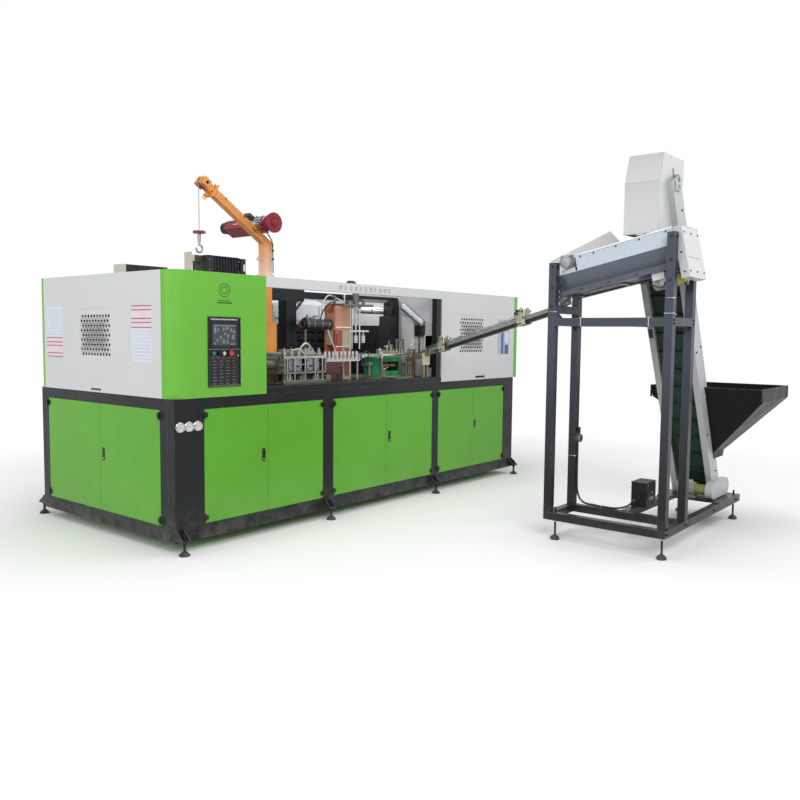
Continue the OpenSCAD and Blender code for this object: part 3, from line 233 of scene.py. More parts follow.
SHIFT_MM = (-37, 60, 0)  # from body millimetres to the shared frame, whose origin is the foot mount
MM = Matrix.Translation([v / 1000 for v in SHIFT_MM]) @ Matrix.Diagonal((0.001, 0.001, 0.001, 1))
BOOM_TILT = 32.52
BOOM_A = radians(BOOM_TILT)
boom_rot = Matrix(((-cos(BOOM_A), 0, sin(BOOM_A), 0), (0, 1, 0, 0),
                   (sin(BOOM_A), 0, cos(BOOM_A), 0), (0, 0, 0, 1)))
FR = {
    "body": MM,
    "trough": MM @ Matrix.Translation((2210, -1813, 1898)) @ turn("X", -12),
    "elev": MM @ Matrix.Translation((3766, -2600, 300)) @ turn("Y", -26.3),
    "boom": MM @ Matrix.Translation((1335, 550, 2390)) @ boom_rot,
    "chute": MM @ Matrix.Translation((2500, -1780, 1845)) @ turn("Z", -15.5) @ turn("X", -12.67),
}


def local(m, fr):
    """object coordinates turned into a tilted group's own millimetres"""
    inv = FR[fr].inverted()
    out = []
    for i in range(3):
        n = m.node("ShaderNodeVectorMath", operation="DOT_PRODUCT")
        m.link(m.co, n.inputs[0])
        n.inputs[1].default_value = inv[i][:3]
        out.append(m.math("ADD", n.outputs["Value"], inv[i][3]))
    m.xyz = out


def edge_wear(m, col, c, amount):
    """bare metal shows through where edges are rubbed"""
    bv = m.node("ShaderNodeBevel", samples=4)
    bv.inputs["Radius"].default_value = 0.0035
    geo = m.node("ShaderNodeNewGeometry")
    dt = m.node("ShaderNodeVectorMath", operation="DOT_PRODUCT")
    m.link(bv.outputs[0], dt.inputs[0])
    m.link(geo.outputs["Normal"], dt.inputs[1])
    e = m.math("MULTIPLY", m.math("SUBTRACT", 0.97, dt.outputs["Value"], clamp=True), 8.0, clamp=True)
    e = m.math("MULTIPLY", e, m.ramp(m.noise(22, 4, 0.7), 0.42, 0.62))
    return m.mixc(m.math("MULTIPLY", e, amount), col, c)


def paint(key, name, c, rough=0.38, var=0.06, dust=None, rules=(), fr=None, wear=None, fades=(), spec=0.22):
    """sprayed metal: faint tone drift, orange peel, dust low down, rubbed edges; fades change the colour with
    height, and the zone named left gives a painted shade on faces towards -x
    """
    m = Mat(name)
    col = m.mixc(m.ramp(m.noise(1.7, 4, 0.6), 0.3, 0.7), shade(c, 1 - var), shade(c, 1 + var * 0.5))
    if dust:
        low = m.math("SUBTRACT", 1.0, m.math("MULTIPLY", m.xyz[2], 1 / dust[0], clamp=True), clamp=True)
        low = m.math("MULTIPLY", low, m.ramp(m.noise(9, 4, 0.6), 0.35, 0.75))
    rg = m.mixf(m.ramp(m.noise(6, 3), 0.3, 0.7), rough - 0.05, rough + 0.07)
    for zone, lo, hi, far_c in fades:
        k = m.ramp(m.xyz[2], min(lo, hi), max(lo, hi))
        if lo > hi:
            k = m.math("SUBTRACT", 1.0, k)
        # the zone named left keeps the fade to faces that look towards -x: painted shade on that side
        if zone == "left":
            geo = m.node("ShaderNodeNewGeometry")
            sp = m.node("ShaderNodeSeparateXYZ")
            m.link(geo.outputs["Normal"], sp.inputs[0])
            k = m.math("MULTIPLY", k, m.math("LESS_THAN", sp.outputs[0], -0.7))
        elif zone:
            k = m.math("MULTIPLY", k, m.box(*zone))
        col = m.mixc(k, col, far_c)
    if fr:
        local(m, fr)
    col, rg, mt = m.rules(rules, col, rg, 0.0)
    fine = m.ramp(m.noise(38, 3, 0.6), 0.52, 0.8)
    col = m.mixc(m.math("MULTIPLY", fine, 0.16), col, shade(c, 0.7))
    if dust:
        col = m.mixc(m.math("MULTIPLY", low, dust[1]), col, (0.42, 0.40, 0.36))
    if wear:
        col = edge_wear(m, col, *wear)
    m.bump(m.noise(260, 2, 0.5), 0.12, 0.0004)
    mats[key] = m.out(col, rg, mt, 0.04, spec)


def mm3(x=None, y=None, z=None):
    """a zone in body millimetres as object-coordinate limits"""
    return tuple(None if lim is None else tuple(None if v is None else (v + o) / 1000 for v in lim)
                 for lim, o in zip((x, y, z), SHIFT_MM))


PULL_X, PULL_END_Y = {"door_a1": 834.5, "door_b2": 2390.5, "door_c2": 3837.5}, 941.5
black_pull = [(mm3((x - 15.6, x + 15.6), (0.2, 19), (592, 689)), BLK, 0.5) for x in PULL_X.values()]
WEAR = ((0.46, 0.46, 0.47), 0.55)
mats = {}
paint("door_front", "paint_door_front", GREEN_DN, 0.34, 0.07, dust=(0.5, 0.3), rules=[
    (mm3(y=(None, -0.3)), BLK, 0.45)] + black_pull)
# the end doors take the front doors' green made 3% darker: painted shade on the end face
paint("door_end", "paint_door_end", shade(GREEN_DN, 0.97), 0.34, 0.07, dust=(0.5, 0.3), rules=[
    (mm3((None, -0.3)), BLK, 0.45), (mm3((0.2, 19), (926, 957.2), (592, 689)), BLK, 0.5)])
paint("green_up", "paint_green", GREEN_UP, 0.32, 0.05)
paint("green_low", "paint_green_low", GREEN_DN, 0.4, 0.07, dust=(0.5, 0.3))
paint("white", "paint_white", (222, 225, 225), 0.36, 0.03)
paint("white_in", "paint_white_inner", (206, 209, 210), 0.5, 0.05)
# the rear part of the bay's right wall, below 1700 mm, is coloured near black: painted shade deep in the bay
paint("shells", "paint_cabinet_shells", (208, 211, 212), 0.5, 0.05, rules=[
    (mm3((3200, 3214.5), (600, 1170), (None, 1700)), (30, 32, 35), 0.4)])
paint("vent", "paint_vent", (221, 224, 224), 0.4, 0.03)
paint("black", "paint_black", BLACK, 0.4, 0.14, dust=(0.35, 0.3), wear=WEAR)
paint("slate", "paint_slate", SLATE, 0.36, 0.10, dust=(0.3, 0.2), wear=WEAR,
      fades=[(None, 1.45, 0.45, (36, 34, 36))])
paint("hopper", "paint_hopper", (31, 29, 30), 0.45, 0.12, wear=WEAR, spec=0.15)
paint("orange", "paint_orange", (236, 158, 84), 0.42, 0.10, rules=[
    (mm3((1250, 1430), z=(2050, 2064)), (196, 140, 118), 0.45)], wear=((0.35, 0.2, 0.1), 0.5),
    fades=[(mm3((1250, 1440), z=(2050, None)), 2.40, 2.13, (246, 212, 190))])
paint("cream", "paint_cream", (206, 202, 176), 0.42, 0.14, wear=WEAR)
paint("channel", "paint_channel", (196, 200, 200), 0.34, 0.06)
# the hood's faces towards -x turn darker grey from 2.3 m up to 2.95 m: painted shade on that side
paint("hood", "paint_hood", (220, 222, 222), 0.36, 0.03, fades=[("left", 2.3, 2.95, (190, 190, 189))])
paint("red", "paint_red", (142, 32, 44), 0.4, 0.12, fr="boom", rules=[
    ((None, (372, None), None), (40, 40, 46), 0.5),
    ((None, (-96, 92), (20, 160)), (0.45, 0.46, 0.48), 0.3, 1.0)], wear=((0.5, 0.4, 0.4), 0.5))
paint("roof", "paint_roof", (40, 43, 48), 0.45, 0.1, rules=[
    (mm3((296, 352), (1145, 1255), (2050, 2170)), (196, 194, 186), 0.45),
    (mm3((355, 400), (270, 370), (2050, 2216)), (196, 192, 176), 0.45),
    (mm3((400, 461), (270, 370), (2062, 2216)), (84, 76, 62), 0.5)])
metal("steel", "steel_machined", (0.62, 0.64, 0.66), 0.3)
metal("mould", "mould_steel", (0.34, 0.35, 0.36), 0.34, stain=0.35)
metal("steel_dark", "steel_dark", (0.22, 0.23, 0.25), 0.36)
metal("rod_grey", "rod_grey", (0.40, 0.41, 0.40), 0.32, stain=0.2)
metal("chrome", "chrome_rod", (0.78, 0.79, 0.80), 0.14, stain=0.05)
metal("alu", "aluminium_foil", (0.56, 0.58, 0.60), 0.3, streak=60, stain=0.35)
paint("foot", "foot_black", (26, 26, 28), 0.5, 0.15, dust=(0.1, 0.4))
rubber("belt", "belt_rubber", (18, 50, 38))
plastic("cable", "cable_black", (22, 22, 24), 0.5)
plastic("panel", "panel_black", (26, 28, 31), 0.28)
plastic("btn_green", "button_green", (40, 140, 90), 0.25)
plastic("btn_red", "button_red", (205, 60, 66), 0.25)
plastic("btn_white", "button_white", (210, 212, 196), 0.3)
plastic("brown", "star_phenolic", (128, 88, 54), 0.4, var=0.15)
plastic("white_pl", "white_plastic", (222, 224, 222), 0.35)
metal("hook", "hook_steel", (0.34, 0.33, 0.34), 0.4, rules=[(mm3(z=(2396, None)), (120, 30, 46), 0.45, 0.0)])
metal("clamp", "clamp_metal", (132, 135, 118), 0.36, mt=0.5, stain=0.5, rules=[
    (mm3(z=(1392, 1412)), (0.55, 0.56, 0.55), 0.26, 1.0),
    (mm3(z=(1426, 1480)), (0.34, 0.35, 0.30), 0.35, 0.6),
    (mm3(z=(None, 1196)), (104, 106, 84), 0.45, 0.2)])
metal("stretch", "stretch_paint", (206, 150, 118), 0.42, mt=0.0, stain=0.35, rules=[
    (mm3(z=(None, 1640)), (176, 168, 138), 0.45, 0.0),
    (mm3((2034, 2155), (495, 525)), (196, 118, 82), 0.4, 0.0),
    (mm3((2034, 2140), (375, 405), (None, 1640)), (170, 66, 44), 0.4, 0.0),
    (mm3((2036, 2130), (375, 405), (1640, None)), (214, 148, 124), 0.4, 0.0),
    (mm3(z=(1868, None)), (120, 120, 112), 0.35, 0.6),
    (mm3((2330, 2470), (430, 470), (None, 1869)), (0.7, 0.71, 0.72), 0.2, 1.0),
    (mm3((1690, 2039.8), (395, 505), (1630, 1750)), (34, 38, 38), 0.3, 0.0),
    (mm3((1705, 1740), (435, 465), (None, 1645)), (110, 112, 100), 0.35, 0.6),
    (mm3((1795, 1981), (265, 435), (None, 1350)), (78, 40, 32), 0.42, 0.0),
    (mm3((1981.5, 2037), (270, 380), (None, 1306)), (28, 28, 32), 0.45, 0.0),
    (mm3((1795, 2282), (283, 317), (1350, 1361)), (0.6, 0.61, 0.60), 0.3, 1.0),
    (mm3((1800, 2290), (283, 317), (1361, 1420)), (186, 188, 180), 0.35, 0.0)])
metal("carriage", "carriage_metal", (0.66, 0.66, 0.62), 0.3, rules=[
    (mm3(z=(None, 1598)), (226, 228, 226), 0.35, 0.0)])
metal("feed", "feed_metal", (150, 142, 120), 0.36, mt=0.6, stain=0.4, rules=[
    (mm3(z=(None, 1189)), (120, 118, 98), 0.4, 0.4),
    (mm3(z=(1381, 1412)), (0.76, 0.77, 0.76), 0.24, 1.0),
    (mm3((2870, 3000), (410, 570), (1411, None)), (32, 34, 38), 0.4, 0.0),
    (mm3((3040, 3170), (290, 330)), (150, 124, 92), 0.4, 0.3)])
m = Mat("chute_finish")
zc = m.xyz
local(m, "chute")
col = m.mixc(m.box(None, None, (-0.5, None)), (46, 50, 48), (176, 184, 180))
rg = m.mixf(m.box(None, None, (-0.5, None)), 0.4, 0.22)
for zone, c, q in [(((-18, 18), (1690, 1865), (None, 40)), (214, 150, 112), 0.25),
                   (((-20.5, 20.5), (1560, 1690), (None, 40)), (128, 84, 66), 0.3),
                   (((-20.5, 20.5), (1865, None), (None, 60)), (96, 78, 62), 0.35)]:
    k = m.box(*zone)
    col, rg = m.mixc(k, col, c), m.mixf(k, rg, q)
far = m.box((35.5, None), None, None)
near = m.box((None, -35.5), None, None)
side = m.math("MAXIMUM", far, near)
brk = m.math("MULTIPLY", side, m.box(None, None, (-37, 93)))
brk = m.math("MULTIPLY", brk, m.math("SUBTRACT", 1.0, m.box((-40.5, 40.5), (572, 1588), None)))
col = m.mixc(brk, col, (222, 224, 196))
knob = m.math("MAXIMUM", m.box((40.5, None), None, (50, None)), m.box((None, -40.5), None, (50, None)))
col = m.mixc(knob, col, (96, 98, 92))
legs = m.math("LESS_THAN", zc[2], 1.44)
low = m.math("MULTIPLY", legs, m.math("GREATER_THAN", m.xyz[1], 1600))
col = m.mixc(low, col, (140, 132, 104))
col = m.mixc(m.math("MULTIPLY", m.ramp(m.noise(30, 4, 0.6), 0.45, 0.75), 0.3), col, (90, 88, 78))
m.bump(m.noise(140, 3), 0.15, 0.0003)
mats["chute"] = m.out(col, rg, 0.35)
TR_DARK = (108, 116, 128)
paint("trough", "trough_sheet", TR_DARK, 0.34, 0.06, fr="trough", rules=[
    ((None, None, (170, None)), (200, 211, 223), 0.36),
    (((391.5, None), (-445, 200), None), (216, 218, 218), 0.4),
    ((None, None, (None, 59)), (84, 88, 98), 0.34),
    (((60, 100), None, (4, 46)), (70, 74, 84), 0.34),
    (((360, 400), None, (4, 46)), (70, 74, 84), 0.34)])
paint("drive", "drive_finish", (222, 224, 226), 0.36, 0.03, fr="trough", rules=[
    (((20, 150.5), (-170, -60), (200, 310)), (150, 156, 158), 0.36, 0.5),
    (((150.5, 300), (-170, -60), (200, 340)), (92, 97, 102), 0.4, 0.3),
    (((120, 240), (-889.5, -700), (-115, -8)), (150, 152, 140), 0.4, 0.4),
    (((120, 240), (-955, -889), (-110, -10)), (214, 208, 120), 0.4),
    (((60, 150), (-62, 12), (-62, 4.9)), (120, 122, 116), 0.4)])
paint("foot_drive", "foot_drive_finish", (186, 190, 191), 0.36, 0.06, rules=[
    (mm3(y=(-2599, -2500)), (136, 138, 84), 0.4),
    (mm3(y=(-2500, None)), (128, 130, 118), 0.4)])
paint("controls", "control_finish", (30, 30, 32), 0.45, 0.1, rules=[
    (mm3(y=(-1900, None), z=(700, 810)), (74, 84, 80), 0.4)], wear=WEAR)
metal("gauge", "gauge_steel", (0.7, 0.71, 0.72), 0.22)
g = Mat("guard_acrylic")
gc = g.mixc(g.ramp(g.noise(5, 3), 0.3, 0.7), (24, 128, 92), (70, 176, 130))
g.bump(g.noise(90, 2), 0.06, 0.0003)
g.b.inputs["Transmission Weight"].default_value = 0.35
g.b.inputs["IOR"].default_value = 1.3
mats["guard"] = g.out(gc, g.mixf(g.noise(12, 2), 0.08, 0.2))
plastic("screen", "screen_glass", (72, 76, 86), 0.12, var=0.12, depth=0.02)
plastic("widget", "screen_field", (128, 132, 140), 0.2, depth=0.02)
plastic("legend", "legend_white", (206, 208, 208), 0.4, depth=0.03)
plastic("legend_dim", "legend_grey", (128, 128, 130), 0.4, depth=0.03)
plastic("legend_red", "legend_red", (150, 90, 94), 0.4, depth=0.03)
plastic("key", "key_dark", (44, 42, 46), 0.35)
plastic("dial", "dial_white", (226, 228, 226), 0.12, depth=0.02)
plastic("field_blue", "field_pale_blue", (226, 233, 244), 0.4, var=0.02, depth=0.03)
plastic("field_pink", "field_pale_pink", (238, 222, 230), 0.4, var=0.02, depth=0.03)
plastic("line_blue", "field_line_blue", (196, 206, 224), 0.4, depth=0.03)
plastic("line_red", "field_line_red", (176, 88, 112), 0.4, depth=0.03)
plastic("field_grey", "field_grey_blue", (186, 190, 204), 0.4, var=0.03, depth=0.03)
plastic("deep_blue", "field_deep_blue", (56, 92, 150), 0.4, depth=0.03)
plastic("mark_grey", "mark_grey", (190, 188, 193), 0.4, depth=0.03)
plastic("mark_green", "mark_dark_green", (44, 92, 34), 0.4, depth=0.03)
plastic("hose_white", "hose_white", (226, 228, 226), 0.3)
plastic("tie", "tie_white", (230, 232, 232), 0.3)
metal("bolt", "bolt_zinc", (0.5, 0.5, 0.5), 0.32)
metal("bolt_black", "bolt_black", (0.05, 0.05, 0.055), 0.4)
plastic("yellow", "motor_yellow", (224, 218, 110), 0.4)
metal("box_brown", "box_brown", (86, 44, 36), 0.42, mt=0.0, stain=0.35)
metal("rust", "valve_rust", (150, 86, 80), 0.4, mt=0.2)
paint("rear_panel", "paint_rear_panel", (204, 208, 210), 0.5, 0.06)
plastic("blue_hose", "hose_blue", (40, 60, 130), 0.3)

use = {n: "door_end" if n in ("door_e1", "door_e2") else "door_front" for n in N if n.startswith("door_")}
use.update(dict(
    frame_front="black", frame_rear="black", frame_ends="black", bed="black", hinges="black", bay_frame="black",
    roof_units="roof", hopper="hopper", panels="green_low", green_covers="green_up", cover_end_left="white",
    vents="vent", cabinet_shells="shells", cover_front_right="white", headers="white", hood="hood",
    trough_drive="drive", foot_drive="foot_drive", levelling_feet="foot", gauges="gauge", hmi_panel="panel",
    selector="panel", controls="controls", btn_start="btn_green", btn_stop="btn_red", btn_reset="btn_white",
    crane_column="orange", crane_mast="orange", stretch_frame="stretch", hoist="red", hook="hook",
    sheave="steel_dark", rope="steel_dark", mould_left="mould", mould_right="mould",
    stretch_carriage="carriage", roller_a="chrome", roller_b="chrome", drum_foot="steel_dark",
    drum_head="steel_dark", ducts="alu", clamp_frame="clamp", feed_table="feed", star_wheel="brown",
    green_guard="guard", chute="chute", tower_base="slate", tower_posts="slate", trough="trough",
    elev_frame="channel", belt="belt", tower_cable="cable"))
for n, o in N.items():
    if not o.material_slots:
        o.data.materials.append(mats[use[n]])
    for s in o.material_slots:
        s.material = mats[use[n]]


# ---------- piece builder, in body millimetres or those of a tilted group ----------
in_work = []


def finish():
    """makes objects of the pieces in work"""
    for piece in in_work:
        piece.done()
    in_work.clear()


def turns(n, a0=0.0):
    """cosine and sine of n even steps round a circle"""
    return [(cos(a), sin(a)) for a in [2 * pi * k / n + a0 for k in range(n)]]


def arc(a0, a1, n):
    """cosine and sine of n even steps from a0 to a1 degrees, both ends in"""
    return [(cos(a), sin(a)) for a in [radians(a0 + k * (a1 - a0) / n) for k in range(n + 1)]]


def ring(r0, r1, h0, h1, closed=False):
    """a flat ring's outline for lathe()"""
    return [(r0, h0), (r1, h0), (r1, h1), (r0, h1)] + [(r0, h0)] * closed


def face_out(bm):
    """turns round the closed shells that look inwards, as a cable tie's square ring may after recalc_face_normals"""
    bm.normal_update()
    seen = set()
    for start in bm.faces:
        if start in seen:
            continue
        shell, stack = [], [start]
        seen.add(start)
        while stack:
            f = stack.pop()
            shell.append(f)
            for g in (g for e in f.edges for g in e.link_faces if g not in seen):
                seen.add(g)
                stack.append(g)
        here = shell[0].calc_center_median()
        volume = sum((f.calc_center_median() - here).dot(f.normal) * f.calc_area() for f in shell)
        if volume < 0 and all(e.is_manifold for f in shell for e in f.edges):
            bmesh.ops.reverse_faces(bm, faces=shell)


class Piece:
    """gathers small parts of one finish on one body into one mesh

    A piece is finished when the next one begins, unless that one is made beside it.
    """

    def __init__(self, name, mat, slot="steel", body="machine", fr="body", beside=False):
        if not beside:
            finish()
        self.name, self.mat, self.slot_name, self.body, self.fr = name, mat, slot, body, fr
        self.bm = bmesh.new()
        in_work.append(self)

    def _m(self, fr):
        return FR[fr or self.fr]

    def box(self, lo, hi, bev=0.8, fr=None, rot=None):
        c = [(a + b) / 2 for a, b in zip(lo, hi)]
        s = [abs(b - a) for a, b in zip(lo, hi)]
        M = self._m(fr) @ Matrix.Translation(c)
        if rot:
            M = M @ turn(rot[0], rot[1])
        v = bmesh.ops.create_cube(self.bm, size=1, matrix=M @ Matrix.Diagonal((*s, 1)))["verts"]
        bev = min(bev, min(s) * 0.3)
        if bev > 0.05:
            es = list(dict.fromkeys(e for q in v for e in q.link_edges))
            bmesh.ops.bevel(self.bm, geom=es, offset=bev / 1000, segments=1, affect="EDGES")
        return self

    def boxes(self, *rows):
        """boxes from rows of two corners and a bevel"""
        for row in rows:
            self.box(row[:3], row[3:6], row[6])

    def rod(self, p0, axis, end, r, seg=24, bev=0.0):
        """a cylinder along an axis, from a point to the coordinate end"""
        p1 = list(p0)
        p1[axis] = end
        self.cyl(p0, p1, r, seg=seg, bev=bev)

    def rods(self, *rows):
        for row in rows:
            self.rod(*row)

    def cyl(self, p0, p1, r, r2=None, seg=24, fr=None, bev=0.0):
        a, b = Vector(p0), Vector(p1)
        dr = b - a
        M = self._m(fr) @ Matrix.Translation((a + b) / 2) @ dr.to_track_quat("Z", "Y").to_matrix().to_4x4()
        v = bmesh.ops.create_cone(self.bm, cap_ends=True, segments=seg, radius1=r, radius2=r if r2 is None else r2,
                                  depth=dr.length, matrix=M)["verts"]
        if bev:
            caps = [e for e in dict.fromkeys(e for q in v for e in q.link_edges)
                    if any(len(f.verts) > 4 for f in e.link_faces)]
            bmesh.ops.bevel(self.bm, geom=caps, offset=bev / 1000, segments=2, affect="EDGES")
        return self

    def lathe(self, prof, p0, axis, seg=24, fr=None):
        M = self._m(fr) @ Matrix.Translation(p0) @ Vector(axis).to_track_quat("Z", "Y").to_matrix().to_4x4()
        rings = []
        for r, h in prof:
            if r < 1e-6:
                rings.append([self.bm.verts.new(M @ Vector((0, 0, h)))])
            else:
                rings.append([self.bm.verts.new(M @ Vector((r * c, r * s, h))) for c, s in turns(seg)])
        for A, B in zip(rings, rings[1:]):
            for k in range(seg):
                q = [A[k % len(A)], A[(k + 1) % len(A)], B[(k + 1) % len(B)], B[k % len(B)]]
                u = list(dict.fromkeys(q))
                if len(u) > 2:
                    self.bm.faces.new(u)
        return self

    def sweep(self, pts, r, seg=8, fr=None, smooth=6, closed=False):
        P = [Vector(p) for p in pts]
        if smooth and len(P) > 2:
            Q = []
            n = len(P)
            rng = range(n) if closed else range(n - 1)
            for i in rng:
                g = (lambda j: P[j % n]) if closed else (lambda j: P[min(max(j, 0), n - 1)])
                a, b, c, e = g(i - 1), g(i), g(i + 1), g(i + 2)
                for k in range(smooth):
                    t = k / smooth
                    Q.append(0.5 * (2 * b + (c - a) * t + (2 * a - 5 * b + 4 * c - e) * t * t
                                    + (3 * b - a - 3 * c + e) * t ** 3))
            if not closed:
                Q.append(P[-1])
            P = Q
        M = self._m(fr)
        n = len(P)
        up = None
        rings = []
        for i, p in enumerate(P):
            if closed:
                t = (P[(i + 1) % n] - P[i - 1]).normalized()
            else:
                t = (P[min(i + 1, n - 1)] - P[max(i - 1, 0)]).normalized()
            if up is None:
                up = t.cross(Vector(UP)) if abs(t.z) < 0.9 else t.cross(Vector(RIGHT))
            up = (up - t * up.dot(t)).normalized()
            w = t.cross(up)
            rings.append([self.bm.verts.new(M @ (p + r * (c * up + s * w))) for c, s in turns(seg)])
        pairs = list(zip(rings, rings[1:])) + ([(rings[-1], rings[0])] if closed else [])
        for A, B in pairs:
            for k in range(seg):
                self.bm.faces.new([A[k], A[(k + 1) % seg], B[(k + 1) % seg], B[k]])
        if not closed:
            self.bm.faces.new(rings[0])
            self.bm.faces.new(rings[-1])
        return self

    def loop(self, pts, r, seg=8):
        """a closed ring of wire through its points"""
        self.sweep(pts, r, seg, smooth=0, closed=True)

    def prism(self, pts, axis, a, b, fr=None):
        """a flat outline, given in the two other axes, drawn out along one axis from a to b"""
        M = self._m(fr)
        def at(p, h):
            v = [p[0], p[1]]
            v.insert(axis, h)
            return M @ Vector(v)
        A = [self.bm.verts.new(at(p, a)) for p in pts]
        B = [self.bm.verts.new(at(p, b)) for p in pts]
        self.bm.faces.new(A)
        self.bm.faces.new(B)
        for k in range(len(pts)):
            j = (k + 1) % len(pts)
            self.bm.faces.new([A[k], A[j], B[j], B[k]])
        return self

    def bolt(self, p, axis, r=6, fr=None):
        d = Vector(axis).normalized()
        p = Vector(p)
        self.cyl(p - d * 0.2, p + d * 0.35 * r, r * 1.45, seg=16, fr=fr)
        self.cyl(p + d * 0.3 * r, p + d * 1.1 * r, r, seg=6, fr=fr)
        self.cyl(p + d * 1.05 * r, p + d * 1.3 * r, r * 0.85, r * 0.7, seg=12, fr=fr)
        return self

    def screw(self, p, axis, r=4, fr=None):
        head = [(r, -0.2), (r, 0.3 * r), (0.75 * r, 0.6 * r), (0.4 * r, 0.62 * r), (0.3 * r, 0.3 * r), (0, 0.3 * r)]
        self.lathe(head, p, axis, 14, fr)

    def done(self):
        bmesh.ops.recalc_face_normals(self.bm, faces=self.bm.faces)
        face_out(self.bm)
        me = bpy.data.meshes.new(self.name)
        self.bm.to_mesh(me)
        self.bm.free()
        for f in me.polygons:
            f.use_smooth = True
        me.set_sharp_from_angle(angle=radians(32))
        o = bpy.data.objects.new(self.name, me)
        bpy.context.scene.collection.objects.link(o)
        me.materials.append(mats[self.mat])
        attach(o, self.body)
        return o


# ---------- operator panel ----------
p = Piece("hmi_screen", "screen", "panel_black")
p.box((340, -9.2, 1509), (558, -8.02, 1667), 0.3)
p = Piece("hmi_widgets", "widget", "panel_black")
for x0, x1, z0, z1 in (
        (346, 552, 1652, 1662), (350, 372, 1600, 1644), (382, 398, 1614, 1640), (430, 446, 1618, 1644),
        (458, 486, 1628, 1648), (500, 520, 1612, 1636), (528, 548, 1600, 1622), (440, 462, 1586, 1604),
        (470, 490, 1566, 1596), (404, 424, 1560, 1580), (372, 392, 1540, 1556), (430, 452, 1524, 1556),
        (466, 482, 1520, 1552), (516, 540, 1556, 1590), (350, 368, 1516, 1530), (500, 550, 1514, 1524)):
    p.box((x0, -9.7, z0), (x1, -9.1, z1), 0.1)
p = Piece("hmi_title_marks", "legend", "gauge_face")
for i in range(17):
    x = 326 + i * 14.6
    p.box((x, -7.0, 1698), (x + (11 if i % 5 else 8), -5.9, 1708), 0.2)
p.box((507, -11.6, 1453), (515, -11.0, 1457), 0)
p.rod((572, -14.5, 1432), Y, -5.9, 5)
p = Piece("hmi_legends", "legend_dim", "gauge_face")
red = Piece("hmi_legends_red", "legend_red", "gauge_face", beside=True)
keys = Piece("hmi_keys", "key", "panel_black", beside=True)
for i, j in product(range(4), range(8)):
    x, z = 333 + 60 * i, 1218 + 24 * j
    keys.box((x + 1.5, -10.2, z + 0.8), (x + 44.5, -7.9, z + 11.2), 0.6)
    t = red if (i == 3 and j > 3) or (i == 2 and j == 6) else p
    w = 18 + ((i * 5 + j * 7) % 4) * 6
    t.box((x + 5, -10.7, z + 4.2), (x + 5 + w, -10.1, z + 7.8), 0.1)
for i in range(30):
    p.boxes((334 + i * 7.8, -6.5, 1204, 338 + i * 7.8 + (i % 3), -5.9, 1208, 0),
            (334 + i * 7.8, -6.5, 1410.5, 337 + i * 7.8 + (i % 2), -5.9, 1413, 0))
for x, z in ((343, 1424), (391, 1424), (437, 1424), (497, 1421)):
    p.box((x - 12, -6.5, z - 4), (x + 12, -5.9, z), 0.1)
p = Piece("hmi_trim", "panel", "panel_black")
p.boxes((299, -10, 1714, 599, -5.9, 1722, 1), (299, -10, 1200, 599, -5.9, 1203, 0.5),
        (299, -10, 1200, 306, -5.9, 1722, 1), (590, -12, 1200, 599, -5.9, 1722, 1.5))
p.lathe(ring(10, 17, 0, 4, True), (394, -6, 1450), FRONT, 32)
p.lathe([(12, 0), (26, 0), (25, 4), (12, 4), (12, 0)], (498, -6, 1450), FRONT, 40)
p = Piece("hmi_rail", "bolt")
p.boxes((304, -8.2, 1479, 592, -5.9, 1482.5, 0.8), (304, -8.2, 1210, 592, -5.9, 1212, 0.4))
for z in (1240, 1680):
    p.rod((602, -7, z - 14), Z, z + 14, 4.5, 16, 1)
    p.box((594, -5, z - 12), (604, -0.5, z + 12), 0.6)
for x, z in product((312, 586), (1207, 1716)):
    p.screw((x, -10 if z > 1500 else -6, z), FRONT, 3)
p.rod((594, -14, 1458), Y, -11.9, 4.5, 20, 0.6)
p = Piece("stop_button_ring", "legend_red", "button_red", "btn_stop")
p.lathe([(9, 0), (9, 0.9), (13, 0.9), (13, 0)], (498, -30, 1450), FRONT, 32)

# ---------- pressure gauges ----------
p = Piece("gauge_dials", "dial", "gauge_face")
scales = Piece("gauge_scales", "panel", "panel_black", beside=True)
needles = Piece("gauge_needles", "btn_red", "button_red", beside=True)
GAUGE_X, GAUGE_Z = (49, 125.5, 202), 923
for x, reading in zip(GAUGE_X, (205, 150, 178)):
    p.lathe([(0, 0.9), (28.6, 0.9), (28.6, 0.02)], (x, -15, GAUGE_Z), FRONT, 40)
    for k in range(25):
        a = radians(-225 + k * 270 / 24)
        tick = 6 if k % 6 == 0 else 3
        c, s = cos(-a), sin(-a)
        mark = Vector((x + 23 * c, -16.1, GAUGE_Z + 23 * s))
        scales.cyl(mark + Vector((c * (3.4 - tick), 0, s * (3.4 - tick))), mark + Vector((c * 3.4, 0, s * 3.4)),
                0.7 if k % 6 else 1.1, seg=6)
    a = radians(reading)
    c, s = cos(a), sin(a)
    scales.cyl((x - 6 * c, -17, GAUGE_Z - 6 * s), (x + 20 * c, -17, GAUGE_Z + 20 * s), 1.3, 0.4, seg=6)
    needles.rod((x, -18.6, GAUGE_Z), Y, -15.8, 3.2, 16, 0.4)
p = Piece("gauge_rims", "chrome")
for x in GAUGE_X:
    p.lathe([(29, 0), (33.4, 0), (33.8, 2), (32.2, 4.2), (29.6, 4.2), (29, 0)], (x, -17.4, GAUGE_Z), FRONT, 48)
    for k in range(3):
        a = radians(90 + 120 * k)
        p.screw((x + 35 * cos(a), -4, GAUGE_Z + 35 * sin(a)), FRONT, 1.6)

# ---------- colour fields on the covers ----------
finish()
fields = {key: Piece(name, finish_key, "white_paint", beside=True) for key, name, finish_key in (
    ("b", "field_sheets_blue", "field_blue"), ("p", "field_sheets_pink", "field_pink"),
    ("lb", "field_lines_blue", "line_blue"), ("lr", "field_lines_red", "line_red"),
    ("g", "field_sheet_grey", "field_grey"), ("d", "field_bars_blue", "deep_blue"))}


